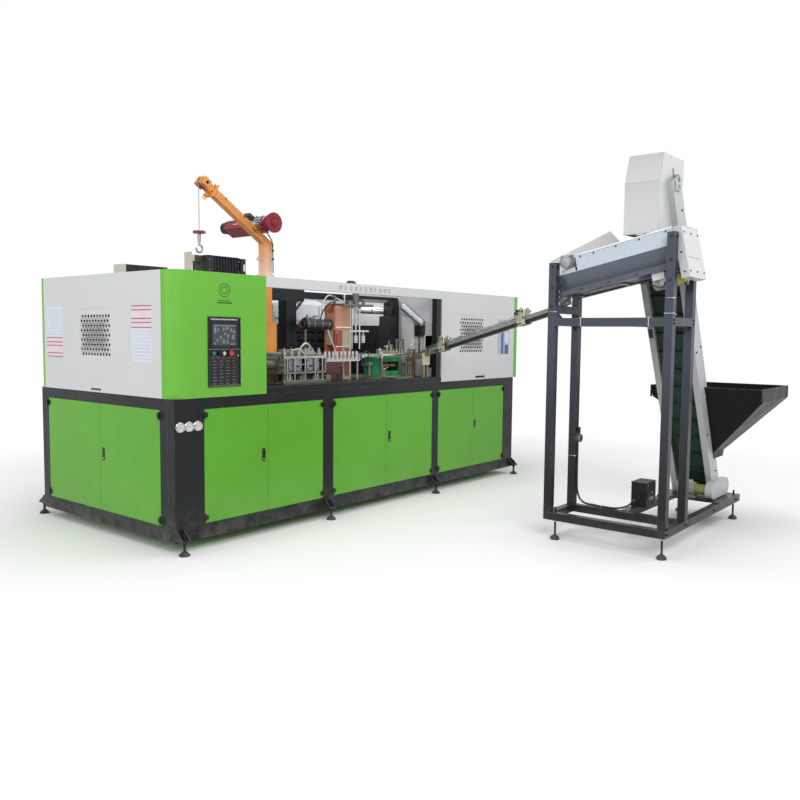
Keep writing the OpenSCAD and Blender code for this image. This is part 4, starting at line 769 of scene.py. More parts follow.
def side_field(y0, y1, z0, z1, up):
    """a sheet on the left side: pink under blue, or the other way round, with red and blue lines"""
    H = z1 - z0
    zz = lambda f: z0 + H * f if up else z1 - H * f

    def bar(key, x0, x1, a, b, za, zb):
        fields[key].box((x0, a, za), (x1, b, zb), 0)

    bar("b", -0.6, -0.02, y0, y1, min(zz(0.4), zz(1)), max(zz(0.4), zz(1)))
    bar("p", -0.6, -0.02, y0, y1, min(zz(0), zz(0.4)), max(zz(0), zz(0.4)))
    for k in (0.015, 0.085, 0.235, 0.305, 0.39):
        bar("lr", -1.0, -0.55, y0, y1, zz(k) - 4, zz(k) + 4)
    for k in range(9):
        z = zz(0.46 + k * 0.06)
        bar("lb", -1.0, -0.55, y0 + 12, y1 - 12 - (k * 37) % 60, z - 2, z + 2)


side_field(1541, 1804, 1387, 1804, True)
side_field(259, 519, 1380, 1802, False)
for key, x0, x1, y0, y1, z0, z1 in (
        ("g", 4274, 4519, -0.6, -0.02, 1391, 1784), ("d", 4352, 4398, -1.0, -0.55, 1397, 1640),
        ("d", 4428, 4500, -1.0, -0.55, 1397, 1500), ("b", 4428, 4500, -1.0, -0.55, 1520, 1640),
        ("lb", 4290, 4505, -1.0, -0.55, 1690, 1700), ("lb", 4290, 4505, -1.0, -0.55, 1730, 1740)):
    fields[key].box((x0, y0, z0), (x1, y1, z1), 0)
p = Piece("cover_marks_green", "mark_green", "black_paint")
p.lathe([(46, 0), (46, 0.7), (52, 0.7), (52, 0)], (456, -0.02, 1920), FRONT, 64)
p.lathe([(24, 0), (24, 0.7), (30, 0.7), (30, 0)], (456, -0.02, 1920), FRONT, 48)
p.boxes((385, -0.7, 1822, 527, -0.02, 1832, 0), (400, -0.7, 1840, 512, -0.02, 1846, 0))
p = Piece("header_marks", "mark_grey", "black_paint")
for i in range(11):
    p.box((1694 + i * 66, -0.7, 1986), (1738 + i * 66 - (i * 5) % 3 * 7, -0.02, 2026), 0)

# black discs on the white vent plates: painted shade inside the vent's dimples
p = Piece("vent_dimples", "panel", "black_paint")
for (right, a0, z0), j in product(((False, 804, 1400), (True, 3523, 1410)), range(17)):
    for i in range(20):
        a, z = a0 + 30 + (i / 2 + (0.5 if j % 4 == 0 else 0.25 if j % 2 else 0)) * 43, z0 + 26 + j * 18.705
        edge = min(1, 0.45 + 0.16 * min(i, 19 - i, j, 16 - j))
        if i == 19 and j % 4 == 0:
            continue
        r = 7.5 * edge
        if right:
            p.rod((a, 3.2, z), Y, 2.5, r, 10)
        else:
            p.rod((3.2, a, z), X, 2.5, r, 10)

# ---------- slots and latches on the main machine ----------
p = Piece("cover_slots", "panel", "black_paint")
p.box((3841, -1.2, 1143), (4019, -0.02, 1165), 2)
for i in range(17):
    p.box((3848 + i * 10, -3.2, 1146), (3851 + i * 10, -1.1, 1162), 0.6)
p.boxes((-0.9, 963, 1139, -0.02, 1113, 1144, 0.3), (1826, 5, 2050, 1916, 40, 2068, 2),
        (1840, 12, 2068, 1902, 34, 2075, 2))
for door, at in (*PULL_X.items(), ("door_e1", PULL_END_Y)):
    at_end = door == "door_e1"
    face = lambda a, depth, z: (depth, a, z) if at_end else (a, depth, z)
    p = Piece("latch_rim_" + door, "panel", "black_paint", door)
    for a, b, lo, hi in ((-17.5, -13.5, 590, 691), (13.5, 17.5, 590, 691), (-17.5, 17.5, 688, 692),
                         (-17.5, 17.5, 589, 593)):
        p.box(face(at + a, -1.4, lo), face(at + b, 0.4, hi), 0.6)
    p.box(face(at - 8, -2.6, 618), face(at + 8, 15, 684), 2.5)
    p = Piece("latch_key_" + door, "bolt", "steel", door)
    p.cyl(face(at, -3.2, 606), face(at, 15, 606), 8, bev=1)
    if not at_end:
        p.box((at - 1.2, -3.6, 601), (at + 1.2, -3.1, 611), 0)

# ---------- crane ----------
p = Piece("rope_over_sheave", "steel_dark", "steel", "crane_boom")
p.sweep([(684 + 44 * c, 550, 2805 + 44 * s) for c, s in arc(90 - BOOM_TILT, 180, 16)], 3, smooth=0)
p = Piece("crane_cable", "cable", "cable_black", "crane_boom")
p.sweep([(1262, 452, 2492), (1290, 470, 2462), (1330, 488, 2440), (1362, 493, 2400), (1372, 494, 2330),
        (1374, 494, 2240), (1376, 494, 2130)], 5)
p.sweep([(1230, 470, 2500), (1180, 500, 2475), (1150, 492, 2500)], 4)
p = Piece("crane_bolts", "bolt_black", "steel", "crane_boom", "boom")
for s in (330, 560):
    p.bolt((s, -53, 12), FRONT, 5)
for s, n in ((772, 0), (700, -30), (700, 30)):
    p.bolt((s, -59 if n == 0 else -53, n), FRONT, 9 if n == 0 else 5)
for y, s in product((-40, 40), (95, 185)):
    p.bolt((s, y * 2.4, 61), UP, 6)
for z in (2256, 2330):
    p.cyl((1402, 550, z), (1428, 550, z), 11, seg=20, bev=2, fr="body")
    p.cyl((1422, 550, z), (1434, 550, z), 6, seg=16, fr="body")
p = Piece("crane_fittings", "orange", "orange_paint", "crane_boom", "boom")
p.boxes((664, -56, -56, 676, 56, 56, 1), (690, -16, -74, 716, 16, -52, 2))
p.loop([(703 + 17 * c, 0, -86 + 17 * s) for c, s in turns(16)], 4)
for y in (-53, 53):
    p.box((735, y - 3, -34), (812, y + 3, 34), 3)
p.prism([(0, -60), (-120, -60), (0, -190)], Y, -3, 3)
p = Piece("hoist_fins", "red", "red_paint", "crane_boom", "boom")
for c, s in turns(20):
    p.rod((140 + 60 * c, 130, 90 + 60 * s), Y, 370, 3, 5)
for c, s in turns(8, 0.2):
    p.bolt((140 + 70 * c, -201, 90 + 70 * s), FRONT, 5)
p.lathe([(0, 14), (12, 14), (16, 10), (34, 8), (38, 0)], (140, -201, 90), FRONT, 32)
p.lathe([(44, 0), (48, 4), (56, 4), (58, 0)], (140, -201, 90), FRONT, 40)
for c, s in turns(6):
    p.cyl((140 + 30 * c, -206, 90 + 30 * s), (140 + 48 * c, -203, 90 + 48 * s), 3, seg=6)
p = Piece("hoist_top_box", "panel", "panel_black", "crane_boom", "boom")
p.boxes((226, -36, 56, 292, 44, 92, 4), (234, -28, 88, 284, 36, 98, 3))
p = Piece("hoist_clamps", "chrome", "steel", "crane_boom", "boom")
for y in (-125, -70, 60, 100):
    r0 = 68 if y < -95 else 60
    p.sweep([(140 + r0 * c, y, 90 + r0 * s) for c, s in arc(-20, 200, 10)], 4.5, smooth=0)
p.rod((205, -60, 118), Y, 60, 17, 24, 3)
for y in (-50, -20, 10, 40):
    p.rod((205, y, 118), Y, y + 5, 19)
p = Piece("hoist_plate", "legend", "white_paint", "crane_boom", "boom")
p.boxes((77.2, 150, 62, 78.2, 270, 70, 0.2), (202, 150, 62, 202.9, 270, 70, 0.2))
p = Piece("hook_links", "steel_dark", "steel", "hook")
for i in range(3):
    z = 2384 - i * 26
    pts = [(640 + (9 * c if i % 2 else 0), 550 + (0 if i % 2 else 9 * c), z + 16 * s) for c, s in turns(14)]
    p.loop(pts, 3.2)
p = Piece("hook_keeper", "bolt", "steel", "hook")
p.rod((640, 536, 2302), Y, 564, 5, 16)
p.cyl((640, 550, 2420), (640, 550, 2436), 9, 5, seg=20)

# ---------- roof units ----------
p = Piece("roof_details", "panel", "panel_black")
for x in (470, 560, 650):
    p.box((x, 1147.5, 2072), (x + 60, 1150.2, 2140), 3)
p.boxes((352, 1149, 2156, 752, 1251, 2163, 2), (516, 214, 2190, 776, 386, 2196, 2))
for i in range(6):
    p.cyl((785, 212 + i * 34, 2080), (785, 212 + i * 34, 2180), 3, seg=8)
p.rod((831, 300, 2130), X, 838, 34, 32, 2)
p = Piece("roof_plates", "legend", "white_paint")
p.boxes((806, 203.6, 2092, 826, 205.1, 2146, 0.3), (350, 1160, 2080, 352.4, 1240, 2140, 0.3))
p = Piece("roof_screws", "bolt")
for x, z in product((480, 760), (2084, 2164)):
    p.screw((x, 204.8, z), FRONT, 4)
for x in (420, 545, 635, 725):
    p.screw((x, 1150, 2064), FRONT, 4)
p.lathe(ring(20, 30, 0, 6), (461, 320, 2145), RIGHT, 24)

# ---------- open bay ----------
p = Piece("bay_rear_panels", "rear_panel", "white_paint")
p.box((1905, 1160, 1700), (3120, 1172, 1905), 2)
p.prism([(1160, 1900), (1172, 1905), (1300, 1960), (1300, 1950)], X, 1905, 2700)
for x in (1905, 2250, 2600, 3100):
    p.box((x, 1140, 1700), (x + 22, 1160, 1900), 2)
p.boxes((2260, 1120, 1742, 2560, 1140, 1752, 2), (1450, 700, 1175, 1560, 742, 1866, 3),
        (1438, 690, 1640, 1572, 700, 1800, 3))
p = Piece("bay_rear_rails", "steel_dark")
p.boxes((1990, 1150, 1756, 2290, 1160, 1766, 1), (2120, 1146, 1706, 2146, 1160, 1830, 1))
for x in range(1930, 3100, 130):
    p.bolt((x, 1160, 1716), FRONT, 7)
for z in range(1230, 1640, 100):
    p.bolt((1930, 1150, z), FRONT, 7)
    p.bolt((3150, 1150, z), FRONT, 7)
p = Piece("bay_wall_box", "panel", "panel_black")
p.boxes((3168, 214, 1590, 3211, 322, 1706, 4), (3160, 224, 1600, 3169, 312, 1696, 3),
        (2930, 72, 1420, 2944, 84, 1600, 1))
p = Piece("bay_wall_trim", "white", "white_paint")
p.boxes((3190, 350, 1300, 3211, 520, 1790, 5), (3186, 372, 1330, 3191, 500, 1760, 3),
        (3196, 80, 1255, 3211, 90, 1605, 1), (3196, 210, 1255, 3211, 220, 1605, 1))
p = Piece("bay_clamps", "chrome")
for x, z in ((1764, 1824), (1800, 1860), (1836, 1896)):
    p.lathe(ring(46, 50, -4, 4, True), (x, 688, z), (1, 0, 1), 40)
for x in (2670, 2880, 3090):
    p.lathe(ring(32, 36.5, -5, 5, True), (x, 692, 1850), RIGHT, 32)
p.lathe(ring(44, 60, 0, 6, True), (3176, 600, 1925), RIGHT, 48)
for c, s in turns(8):
    p.bolt((3182, 600 + 50 * c, 1925 + 50 * s), LEFT, 4)
p = Piece("bay_hoses_white", "hose_white", "white_paint")
p.sweep([(1985, 500, 1780), (1990, 500, 1870), (2030, 500, 1935), (2085, 505, 1968), (2150, 520, 1962),
        (2230, 500, 1930), (2300, 462, 1905), (2330, 452, 1893)], 6)
p.sweep([(2239, 450, 1892), (2240, 450, 1960), (2262, 470, 1985), (2300, 520, 1975), (2330, 560, 1960)], 6)
p.sweep([(1498, 300, 1430), (1516, 296, 1474), (1560, 290, 1516), (1606, 292, 1510), (1660, 300, 1462),
        (1712, 312, 1420), (1730, 322, 1360)], 7)
p.sweep([(1300, 210, 1420), (1330, 190, 1462), (1390, 180, 1470), (1450, 190, 1436), (1476, 205, 1405)], 4)
p.sweep([(1860, 300, 1640), (1890, 290, 1560), (1930, 285, 1480), (1960, 290, 1400), (1990, 300, 1365)], 5)
p = Piece("bay_hoses_black", "cable", "cable_black")
p.sweep([(1600, 400, 1190), (1590, 390, 1330), (1610, 380, 1440), (1680, 390, 1500), (1760, 420, 1520),
        (1800, 430, 1350)], 6)
p.sweep([(1760, 200, 1190), (1790, 190, 1230), (1850, 190, 1250), (1900, 210, 1215), (1930, 240, 1182)], 5)
p.sweep([(2070, 430, 1870), (2040, 400, 1900), (1990, 420, 1880), (1960, 470, 1800), (1950, 480, 1740)], 6)
p.sweep([(2520, 480, 1890), (2560, 500, 1930), (2620, 540, 1936), (2700, 560, 1935)], 6)
p.sweep([(2360, 300, 1190), (2400, 200, 1200), (2480, 120, 1186), (2620, 80, 1183), (2760, 90, 1183)], 4)
p.sweep([(2300, 330, 1360), (2330, 290, 1420), (2380, 280, 1440), (2420, 300, 1400), (2440, 330, 1330)], 5)
p.sweep([(1150, 220, 1190), (1140, 200, 1300), (1170, 190, 1400), (1230, 200, 1440), (1280, 230, 1420)], 6)
p = Piece("bay_hoses_blue", "blue_hose", "cable_black")
p.sweep([(1700, 330, 1380), (1726, 300, 1420), (1770, 290, 1430), (1800, 300, 1390), (1815, 310, 1362)], 4)
p.sweep([(2300, 400, 1400), (2330, 360, 1430), (2370, 350, 1410), (2380, 345, 1360), (2376, 340, 1300)], 4)
p.sweep([(2310, 410, 1380), (2345, 375, 1400), (2390, 360, 1370), (2396, 350, 1290)], 4)

# clamping station
p = Piece("clamp_bolts", "bolt")
for x, y in product((1206, 1440, 1674), (166, 414)):
    p.bolt((x, y, 1195), UP, 8)
    p.bolt((x, y, 1410), UP, 8)
for z, y in product((1290, 1336, 1382), (164, 416)):
    p.bolt((1190, y, z), LEFT, 7)
    p.bolt((1690, y, z), RIGHT, 7)
for y, (x, d) in product((190, 390), ((1184, -1), (1696, 1))):
    p.rod((x, y, 1336), X, x + 14 * d, 15, 6)
p = Piece("clamp_rods", "rod_grey")
for x in (1232, 1318, 1440, 1562, 1648):
    p.rods(((x, 158, 1195), Z, 1262, 6, 20), ((x, 158, 1280), Z, 1392, 7, 20),
           ((x, 158, 1284), Z, 1290, 11, 20), ((x, 158, 1384), Z, 1391, 11, 20))
for x in (1275, 1605):
    p.sweep([(x + 15 * cos(t * 0.9), 176 + 15 * sin(t * 0.9), 1196 + t * 1.05) for t in range(0, 62)],
            2, 6, smooth=0)
p.box((1220, 152, 1196), (1660, 166, 1206), 1)
p = Piece("clamp_blocks", "clamp")
for x in (1240, 1400, 1560):
    p.boxes((x, 176, 1196, x + 76, 236, 1240, 4), (x + 16, 182, 1240, x + 60, 230, 1258, 3))
p.rod((1700, 240, 1200), Z, 1286, 24, 32, 3)
p.boxes((1722, 180, 1176, 1786, 260, 1236, 4), (1210, 300, 1411, 1300, 420, 1440, 4),
        (1480, 170, 1411, 1560, 240, 1452, 5), (1590, 180, 1411, 1680, 300, 1428, 3))
p.rod((1520, 205, 1452), Z, 1480, 20, 32, 3)
p = Piece("clamp_fittings", "steel_dark")
for i in range(6):
    x = 1235 + i * 82
    p.rods(((x, 200, 1472), Z, 1482, 9, 6), ((x + 24, 232, 1410), Z, 1432, 6, 12, 1))
for x in (1250, 1330, 1590, 1650):
    p.rod((x, 150, 1300), Y, 144, 7, 6)
for side, body, screws, x0 in (("l", "mould_left", (1274, 1396), 1340), ("r", "mould_right", (1484, 1606), 1496)):
    p = Piece("mould_bolts_" + side, "bolt_black", "steel", body)
    for x, z in product(screws, (1302, 1370)):
        p.screw((x, 170, z), FRONT, 6)
    p.box((x0, 167, 1316), (x0 + 44, 170.5, 1330), 1)
for side, body, x0 in (("l", "mould_left", 1284), ("r", "mould_right", 1552)):
    p = Piece("mould_ports_" + side, "steel_dark", "steel", body)
    for k in range(3):
        p.rod((x0 + 22 * k, 171, 1348), Y, 166, 5, 12)

# stretching station
p = Piece("stretch_bolts", "bolt")
for x, z in product((2056, 2244), (1210, 1340, 1480, 1620, 1760, 1850)):
    p.bolt((x, 380, z), FRONT, 6)
for x, y in product((2140, 2230, 2330, 2520), (366, 534)):
    p.bolt((x, y, 1890), UP, 8)
for c, s in turns(6):
    p.bolt((2400 + 44 * c, 450 + 44 * s, 1890), UP, 5)
for x in (2345, 2455):
    p.lathe([(9.2, 0), (18, 0), (18, 14), (12, 20), (9.2, 20)], (x, 450, 1850), UP, 28)
p = Piece("stretch_barrel_bands", "steel_dark")
for z in (1893, 1920, 1996, 2006):
    p.lathe(ring(31, 35, 0, 6), (2400, 450, z), UP, 36)
p.box((2270, 420, 1890), (2330, 480, 1926), 4)
p.rods(((2480, 420, 1890), Z, 1950, 14, 24, 2), ((2160, 500, 1890), Z, 1966, 12, 24, 2))
p = Piece("stretch_side_rails", "chrome")
for y in (376, 524):
    p.rod((2240, y, 1200), Z, 1860, 5, 16)
for z in (1480, 1660):
    p.box((2046, 372, z), (2254, 380.2, z + 12), 1)
p = Piece("stretch_covers", "rust")
p.boxes((2060, 371, 1500, 2130, 380.2, 1640, 3), (2170, 374, 1210, 2246, 380.2, 1470, 3))
p = Piece("accumulator_end", "rust")
p.lathe([(0, -26), (12, -26), (24, -22), (30, -12), (30, 4), (34, 6), (34, 12)], (1692, 450, 1690), LEFT, 40)
p = Piece("accumulator_bands", "steel_dark")
for x in (1722, 1800, 1900, 1990, 2030):
    p.lathe(ring(49, 52, -5, 5), (x, 450, 1690), RIGHT, 40)
p.box((1720, 425, 1738), (1760, 475, 1752), 2)
p.rods(((1745, 450, 1750), Z, 1776, 10, 20, 1.5), ((1830, 450, 1738), Z, 1768, 14, 20, 2),
       ((1820, 450, 1764), X, 1880, 6, 16))
p.box((1780, 436, 1738), (1812, 464, 1756), 2)
HOLDERS = range(1826, 2303, 53)
p = Piece("preforms", "white_pl", "white_paint")
for x in HOLDERS:
    p.lathe([(11, 0), (11, 10), (13.4, 10), (13.4, 13), (10.4, 13), (10.4, 30), (8.4, 30), (8.4, 12)],
            (x, 300, 1413), UP, 24)
p = Piece("holder_clips", "chrome")
for x in HOLDERS:
    p.lathe(ring(14, 16.5, 0, 5), (x, 300, 1376), UP, 24)
    p.rod((x, 284, 1378), Y, 270, 3, 10)
    p.box((x - 5, 262, 1372), (x + 5, 271, 1384), 1)
p.box((1800, 262, 1366), (2280, 268, 1370), 0.6)
p = Piece("cup_rings", "steel_dark", "steel", "stretch_carriage")
for x in (2290, 2400, 2510):
    p.lathe(ring(12, 19.8, 0, 5), (x, 450, 1590), UP, 32)
    p.lathe(ring(19, 20.2, 0, 4), (x, 450, 1530), UP, 32)
    p.bolt((x, 450, 1641), UP, 8)
for x, y in product((2262, 2538), (424, 476)):
    p.bolt((x, y, 1641), UP, 5)
p = Piece("preform_box_lids", "box_brown")
p.boxes((1806, 266, 1190, 1974, 270.2, 1336, 3), (1830, 263, 1240, 1842, 267, 1290, 2))

# feeding station
STAR_X, STAR_Y = 2710, 420
p = Piece("feed_fittings", "chrome")
for x in (2560, 2620, 2680, 2740, 2860, 2920, 2990):
    p.bolt((x, 238, 1410), UP, 6)
    p.bolt((x, 566, 1410), UP, 6)
p.box((2560, 262, 1410), (2840, 270, 1440), 1.5)
p.rods(((2590, 300, 1410), Z, 1470, 8, 20, 1), ((2620, 300, 1455), X, 2560, 4, 12),
       ((2700, 300, 1410), Z, 1500, 6, 16, 1), ((2660, 300, 1486), X, 2745, 5, 12))
p.box((2540, 232, 1370), (2552, 560, 1396), 1)
for y in (250, 350, 450, 540):
    p.rod((2552, y, 1383), X, 2568, 7, 20, 1)
for x in (2700, 2745, 2790, 2835, 2880):
    p.rods(((x, 252, 1411), Z, 1452, 4, 12), ((x, 252, 1452), Z, 1458, 8, 16, 1))
p.box((2860, 226, 1411), (3005, 250, 1424), 2)
p.sweep([(2960, 240, 1424), (2962, 226, 1480), (2990, 200, 1505), (3040, 190, 1500)], 5)
p = Piece("feed_frames", "feed")
for x in (2930, 2965, 3000):
    p.rod((x, 236, 1187), Z, 1382, 7, 20)
p.boxes((2920, 228, 1187, 3012, 244, 1199, 2), (2920, 228, 1290, 3012, 244, 1300, 2),
        (2890, 226, 1340, 3020, 232, 1382, 2))
p.prism([(2560, 1190), (2600, 1190), (2566, 1300), (2560, 1300)], Y, 226, 232)
p.rod((2470, 330, 1187), Z, 1300, 12, 24, 2)
p.box((2446, 306, 1300), (2494, 354, 1330), 3)
for c, s in arc(185, 356, 19):
    p.bolt((STAR_X + 340 * c, STAR_Y + 340 * s, 1187), UP, 6)
p = Piece("feed_motor", "brown")
p.rods(((2800, 420, 1187), Z, 1280, 44, 40, 3), ((2620, 470, 1187), Z, 1270, 34, 40, 3))
p.boxes((2590, 380, 1187, 2660, 440, 1262, 4), (2820, 470, 1187, 2900, 540, 1380, 5))
p = Piece("feed_cylinder", "chrome")
p.cyl((2580, 300, 1240), (2640, 286, 1262), 15, bev=2)
p.cyl((2640, 286, 1262), (2690, 274, 1280), 6, seg=16)
p.cyl((2560, 305, 1236), (2580, 300, 1240), 9, seg=16)
p = Piece("guard_trims", "green_up", "green_paint")
for z in (1187, 1379):
    pts = [(STAR_X + 213 * c, STAR_Y + 213 * s, z + 4) for c, s in arc(182, 358, 40)]
    p.sweep(pts, 4, 6, smooth=0)
p = Piece("star_bolts", "bolt", "steel", "star_wheel")
for c, s in turns(6):
    p.bolt((STAR_X + 30 * c, STAR_Y + 30 * s, 1333), UP, 5)
p.rod((STAR_X, STAR_Y, 1333), Z, 1342, 14, 6)
p.lathe(ring(60, 64, 0, 2), (STAR_X, STAR_Y, 1312), UP, 48)

# ---------- chute ----------
p = Piece("chute_bolts", "bolt_black", fr="chute")
for y, s in product((520, 1640), (-1, 1)):
    for dy, z in ((-38, 20), (-38, 76), (38, -20), (10, -20)):
        p.bolt((s * 40, y + dy, z), (s, 0, 0), 6)
    p.rods(((s * 64, y + 30, 70), X, s * 70, 9, 20, 1), ((s * 40, y - 10, 84), X, s * 74, 5, 12),
           ((s * 70, y - 10, 84), X, s * 84, 11, 20, 1.5))
p = Piece("chute_guides", "chrome", fr="chute")
for s in (-1, 1):
    p.box((s * 19 - 0.6, 560, 34), (s * 19 + 0.6, 1600, 43), 0.3)
    p.rods(((s * 30, 520, 62), Y, 640, 3, 10), ((s * 30, 1520, 62), Y, 1640, 3, 10))
for y in (700, 900, 1100, 1300, 1500):
    p.boxes((-34, y - 6, 43, 34, y + 6, 45, 0.4), (-35, y - 2, 3, -31, y + 2, 44, 0.4),
            (31, y - 2, 3, 35, y + 2, 44, 0.4))
p = Piece("chute_cheeks", "cream", "cream_paint", fr="chute")
for y, s in product((520, 1640), (-1, 1)):
    p.prism([(y - 50, 90), (y - 30, 112), (y + 6, 104), (y + 50, 90)], X, s * 38 - 2, s * 38 + 2)
p = Piece("chute_end", "cream", "cream_paint")
p.boxes((2950, 40, 1300, 3070, 52, 1420, 3), (2968, 36, 1330, 2990, 41, 1400, 2))

# ---------- preform loader ----------
p = Piece("cable_ties", "tie", "white_paint")


def tie_round(x0, x1, y0, y1, z, tilt=0):
    """a cable tie round a post, with its head and its tail"""
    e = 2.5
    p.loop([(x0 - e, y0 - e, z), (x1 + e, y0 - e, z + tilt), (x1 + e, y1 + e, z + tilt), (x0 - e, y1 + e, z)],
            2.6, 6)
    p.box((x0 - 7, y0 - 9, z - 5), (x0 + 2, y0 - 2, z + 5), 1)
    p.cyl((x0 - 4, y0 - 6, z), (x0 - 26, y0 - 18, z + 3), 1.6, seg=6)


tie_round(2210, 2270, -2733, -2673, 1880)
tie_round(2210, 2270, -2733, -2673, 1772, -6)
tie_round(2210, 2270, -1813, -1753, 1792)
tie_round(2610, 2670, -1813, -1753, 621)
for y in (-2032, -2559):
    p.loop([(2207.5, y, 1680.5), (2272.5, y + 3, 1680.5), (2272.5, y + 3, 1745.5), (2207.5, y, 1745.5)], 2.6, 6)
    p.box((2202, y - 5, 1736), (2208, y + 5, 1746), 1)
    p.cyl((2205, y, 1742), (2190, y - 14, 1752), 1.6, seg=6)

p = Piece("tower_bolts", "bolt_black")
for x, y, zt in ((2210, -2733, 2337), (2210, -1813, 2165)):
    for dz in (26, 190, 330):
        p.bolt((x, y + 30, zt - dz), LEFT, 8)
    p.bolt((x + 30, y, zt - 30), FRONT, 8)
for (x, y), z in product(((2210, -2733), (2610, -2733)), (1700, 1726)):
    p.bolt((x + 30, y, z), FRONT, 6)
for x in (2240, 2640, 3300, 3900):
    p.bolt((x, -2733, 184), FRONT, 7)
p = Piece("tower_caps", "foot", "foot_black")
for x, y, z in ((2210, -2733, 2337), (2210, -1813, 2165), (2610, -2733, 2300), (2610, -1813, 2110)):
    p.box((x + 1, y + 1, z - 0.2), (x + 59, y + 59, z + 4), 1.5)
p = Piece("tower_plates", "slate", "slate_paint")
for x, y in ((2207, -1813), (2207, -2733)):
    p.box((x, y + 4, 1560), (x + 3.1, y + 56, 1620), 0.8)
p.boxes((2214, -2736, 230, 2266, -2732.8, 300, 1), (2212, -2733, 214, 2268, -2732.8, 262, 1))
for (x, side), y in product(((2270, 1), (2610, -1)), (-2706, -1786)):
    p.prism([(x, 1683), (x + 46 * side, 1683), (x, 1637)], Y, y, y + 6)

# trough with its drives
p = Piece("trough_rims", "steel", fr="trough")
p.boxes((60, -949, 287, 66, -195, 293, 1), (391, -949, 287, 398, -560, 293, 1),
        (120, -940, 17, 132, -20, 21, 0.6), (328, -940, 17, 340, -20, 21, 0.6))
p = Piece("trough_bolts", "bolt_black", fr="trough")
for y in (-900, -700, -520, -340, -230):
    p.bolt((65, y, 272), LEFT, 5)
for y in (-860, -640, -420, -200):
    p.bolt((60, y, 25), LEFT, 5)
for x, z in product((90, 230, 370), (240, -40)):
    p.bolt((x, -1015, z), FRONT, 5)
for z in (240, 100, -40):
    p.bolt((60, -985, z), LEFT, 5)
p = Piece("trough_gusset", "hood", "white_paint", fr="trough")
p.prism([(-445, 290), (-441, 339), (-363, 467), (-330, 462), (-330, 290)], X, 388, 392)
p = Piece("trough_brackets", "slate", "slate_paint", fr="trough")
p.boxes((63, -930, 45, 69, -900, 170, 1), (62, -40, 5, 68, -12, 150, 1), (50, -58, 92, 66, -20, 150, 3),
        (100, -1016, 60, 330, -955, 64, 1))
p = Piece("feed_gear_fins", "drive", "channel_grey", fr="trough")
for c, s in turns(28):
    p.rod((46, -115 + 50.5 * c, 254 + 50.5 * s), X, 144, 2.2, 5)
p.lathe([(0, 6), (30, 6), (44, 2), (47, -4), (47, -12)], (30, -115, 254), LEFT, 48)
p.box((62, -150, 298), (122, -84, 326), 4)
for x in (150, 168, 190):
    p.lathe(ring(37, 43, 0, 5), (x, -115, 254), RIGHT, 40)
p = Piece("feed_fan_slots", "steel_dark", fr="trough")
for c, s in turns(12):
    p.cyl((24.5, -115 + 14 * c, 254 + 14 * s), (26.5, -115 + 36 * c, 254 + 36 * s), 2.4, seg=6)
p.rod((22, -115, 254), X, 26, 8, 20, 1)
p = Piece("drive_flange", "yellow", "cream_paint", fr="trough")
p.lathe([(0, 3), (22, 3), (24, 6), (40, 6), (47, 3), (47, -4), (30, -4)], (180, -952, -60), FRONT, 48)
p = Piece("drive_flange_bolts", "bolt_black", fr="trough")
for c, s in turns(8, 0.3):
    p.bolt((180 + 43 * c, -957, -60 + 43 * s), FRONT, 4.5)
p.boxes((150, -952, -120, 210, -936, -104, 3), (234, -948, -80, 250, -920, -30, 3))
p = Piece("drive_motor_fins", "channel", "channel_grey", fr="trough")
for c, s in turns(24):
    if s < 0.75:
        p.rod((180 + 50.5 * c, -880, -60 + 50.5 * s), Y, -730, 2, 5)
p.box((106, -860, -92), (132, -780, -30), 4)
p = Piece("drive_cable", "cable", "cable_black", fr="trough")
p.sweep([(106, -820, -70), (80, -800, -110), (60, -700, -60), (58, -500, -6), (58, -200, -8), (60, -60, -30),
        (40, -20, -60)], 4.5)
p.sweep([(122, -115, 318), (110, -70, 330), (80, -45, 270), (58, -20, 190), (52, -10, 100)], 4.5)
p = Piece("drive_box_seams", "channel", "channel_grey", fr="trough")
p.boxes((58.6, -1015.6, -84, 60.1, -955, 290, 0.4), (60, -1016.4, 286, 400, -1014.8, 290.4, 0.4))

# elevator
p = Piece("elevator_bolts", "bolt_black", fr="elev")
for z in (150, 330, 560, 950, 1345, 1740, 2130, 2500):
    for x in (-50, 50) if z in (560, 1345, 2130) else (30,):
        p.bolt((x, 0, z), FRONT, 6)
        p.bolt((x, 360, z), BACK, 6)
p = Piece("elevator_bearings", "channel", "channel_grey", fr="elev")
for y, s in ((0, -1), (360, 1)):
    p.lathe([(15, 16), (24, 16), (32, 12), (36, 0)], (0, y, 2690), (0, s, 0), 36)
    for x in (-44, 44):
        p.box((x - 14, min(y, y + s * 12), 2672), (x + 14, max(y, y + s * 12), 2708), 4)
p.box((-88, -3, 2120), (-60, 0.4, 2160), 1)
p = Piece("elevator_take_up", "bolt", fr="elev")
for y in (-8, 368):
    p.rods(((44, y, 2700), Z, 2756, 5, 12), ((44, y, 2728), Z, 2736, 9, 6), ((-44, y, 2700), Z, 2756, 5, 12))
p = Piece("elevator_guard", "panel", "panel_black", fr="elev")
p.boxes((-84, 4, 2716, -80, 40, 2752, 1), (-89, 2, 1560, -85, 48, 1620, 3), (-96, 318, 1490, -85, 352, 1570, 3))
p = Piece("elevator_seams", "white_in", "channel_grey", fr="elev")
for y, z in product((-1.2, 360), (880, 1760)):
    p.box((-84, y, z), (84, y + 1.2, z + 40), 0.4)
p = Piece("foot_cover_details", "channel", "channel_grey")
oval = [(3535 + 68 * c, 300 + 68 * s) for c, s in arc(90, 270, 20)]
oval += [(3865 + 68 * c, 300 + 68 * s) for c, s in arc(-90, 90, 20)]
p.prism(oval, Y, -2658, -2654.8)
p = Piece("foot_cover_screws", "bolt")
for x, z in ((3535, 352), (3535, 248), (3865, 352), (3865, 248), (3700, 356), (3700, 244)):
    p.screw((x, -2658, z), FRONT, 5)
p = Piece("foot_motor_fins", "channel", "channel_grey")
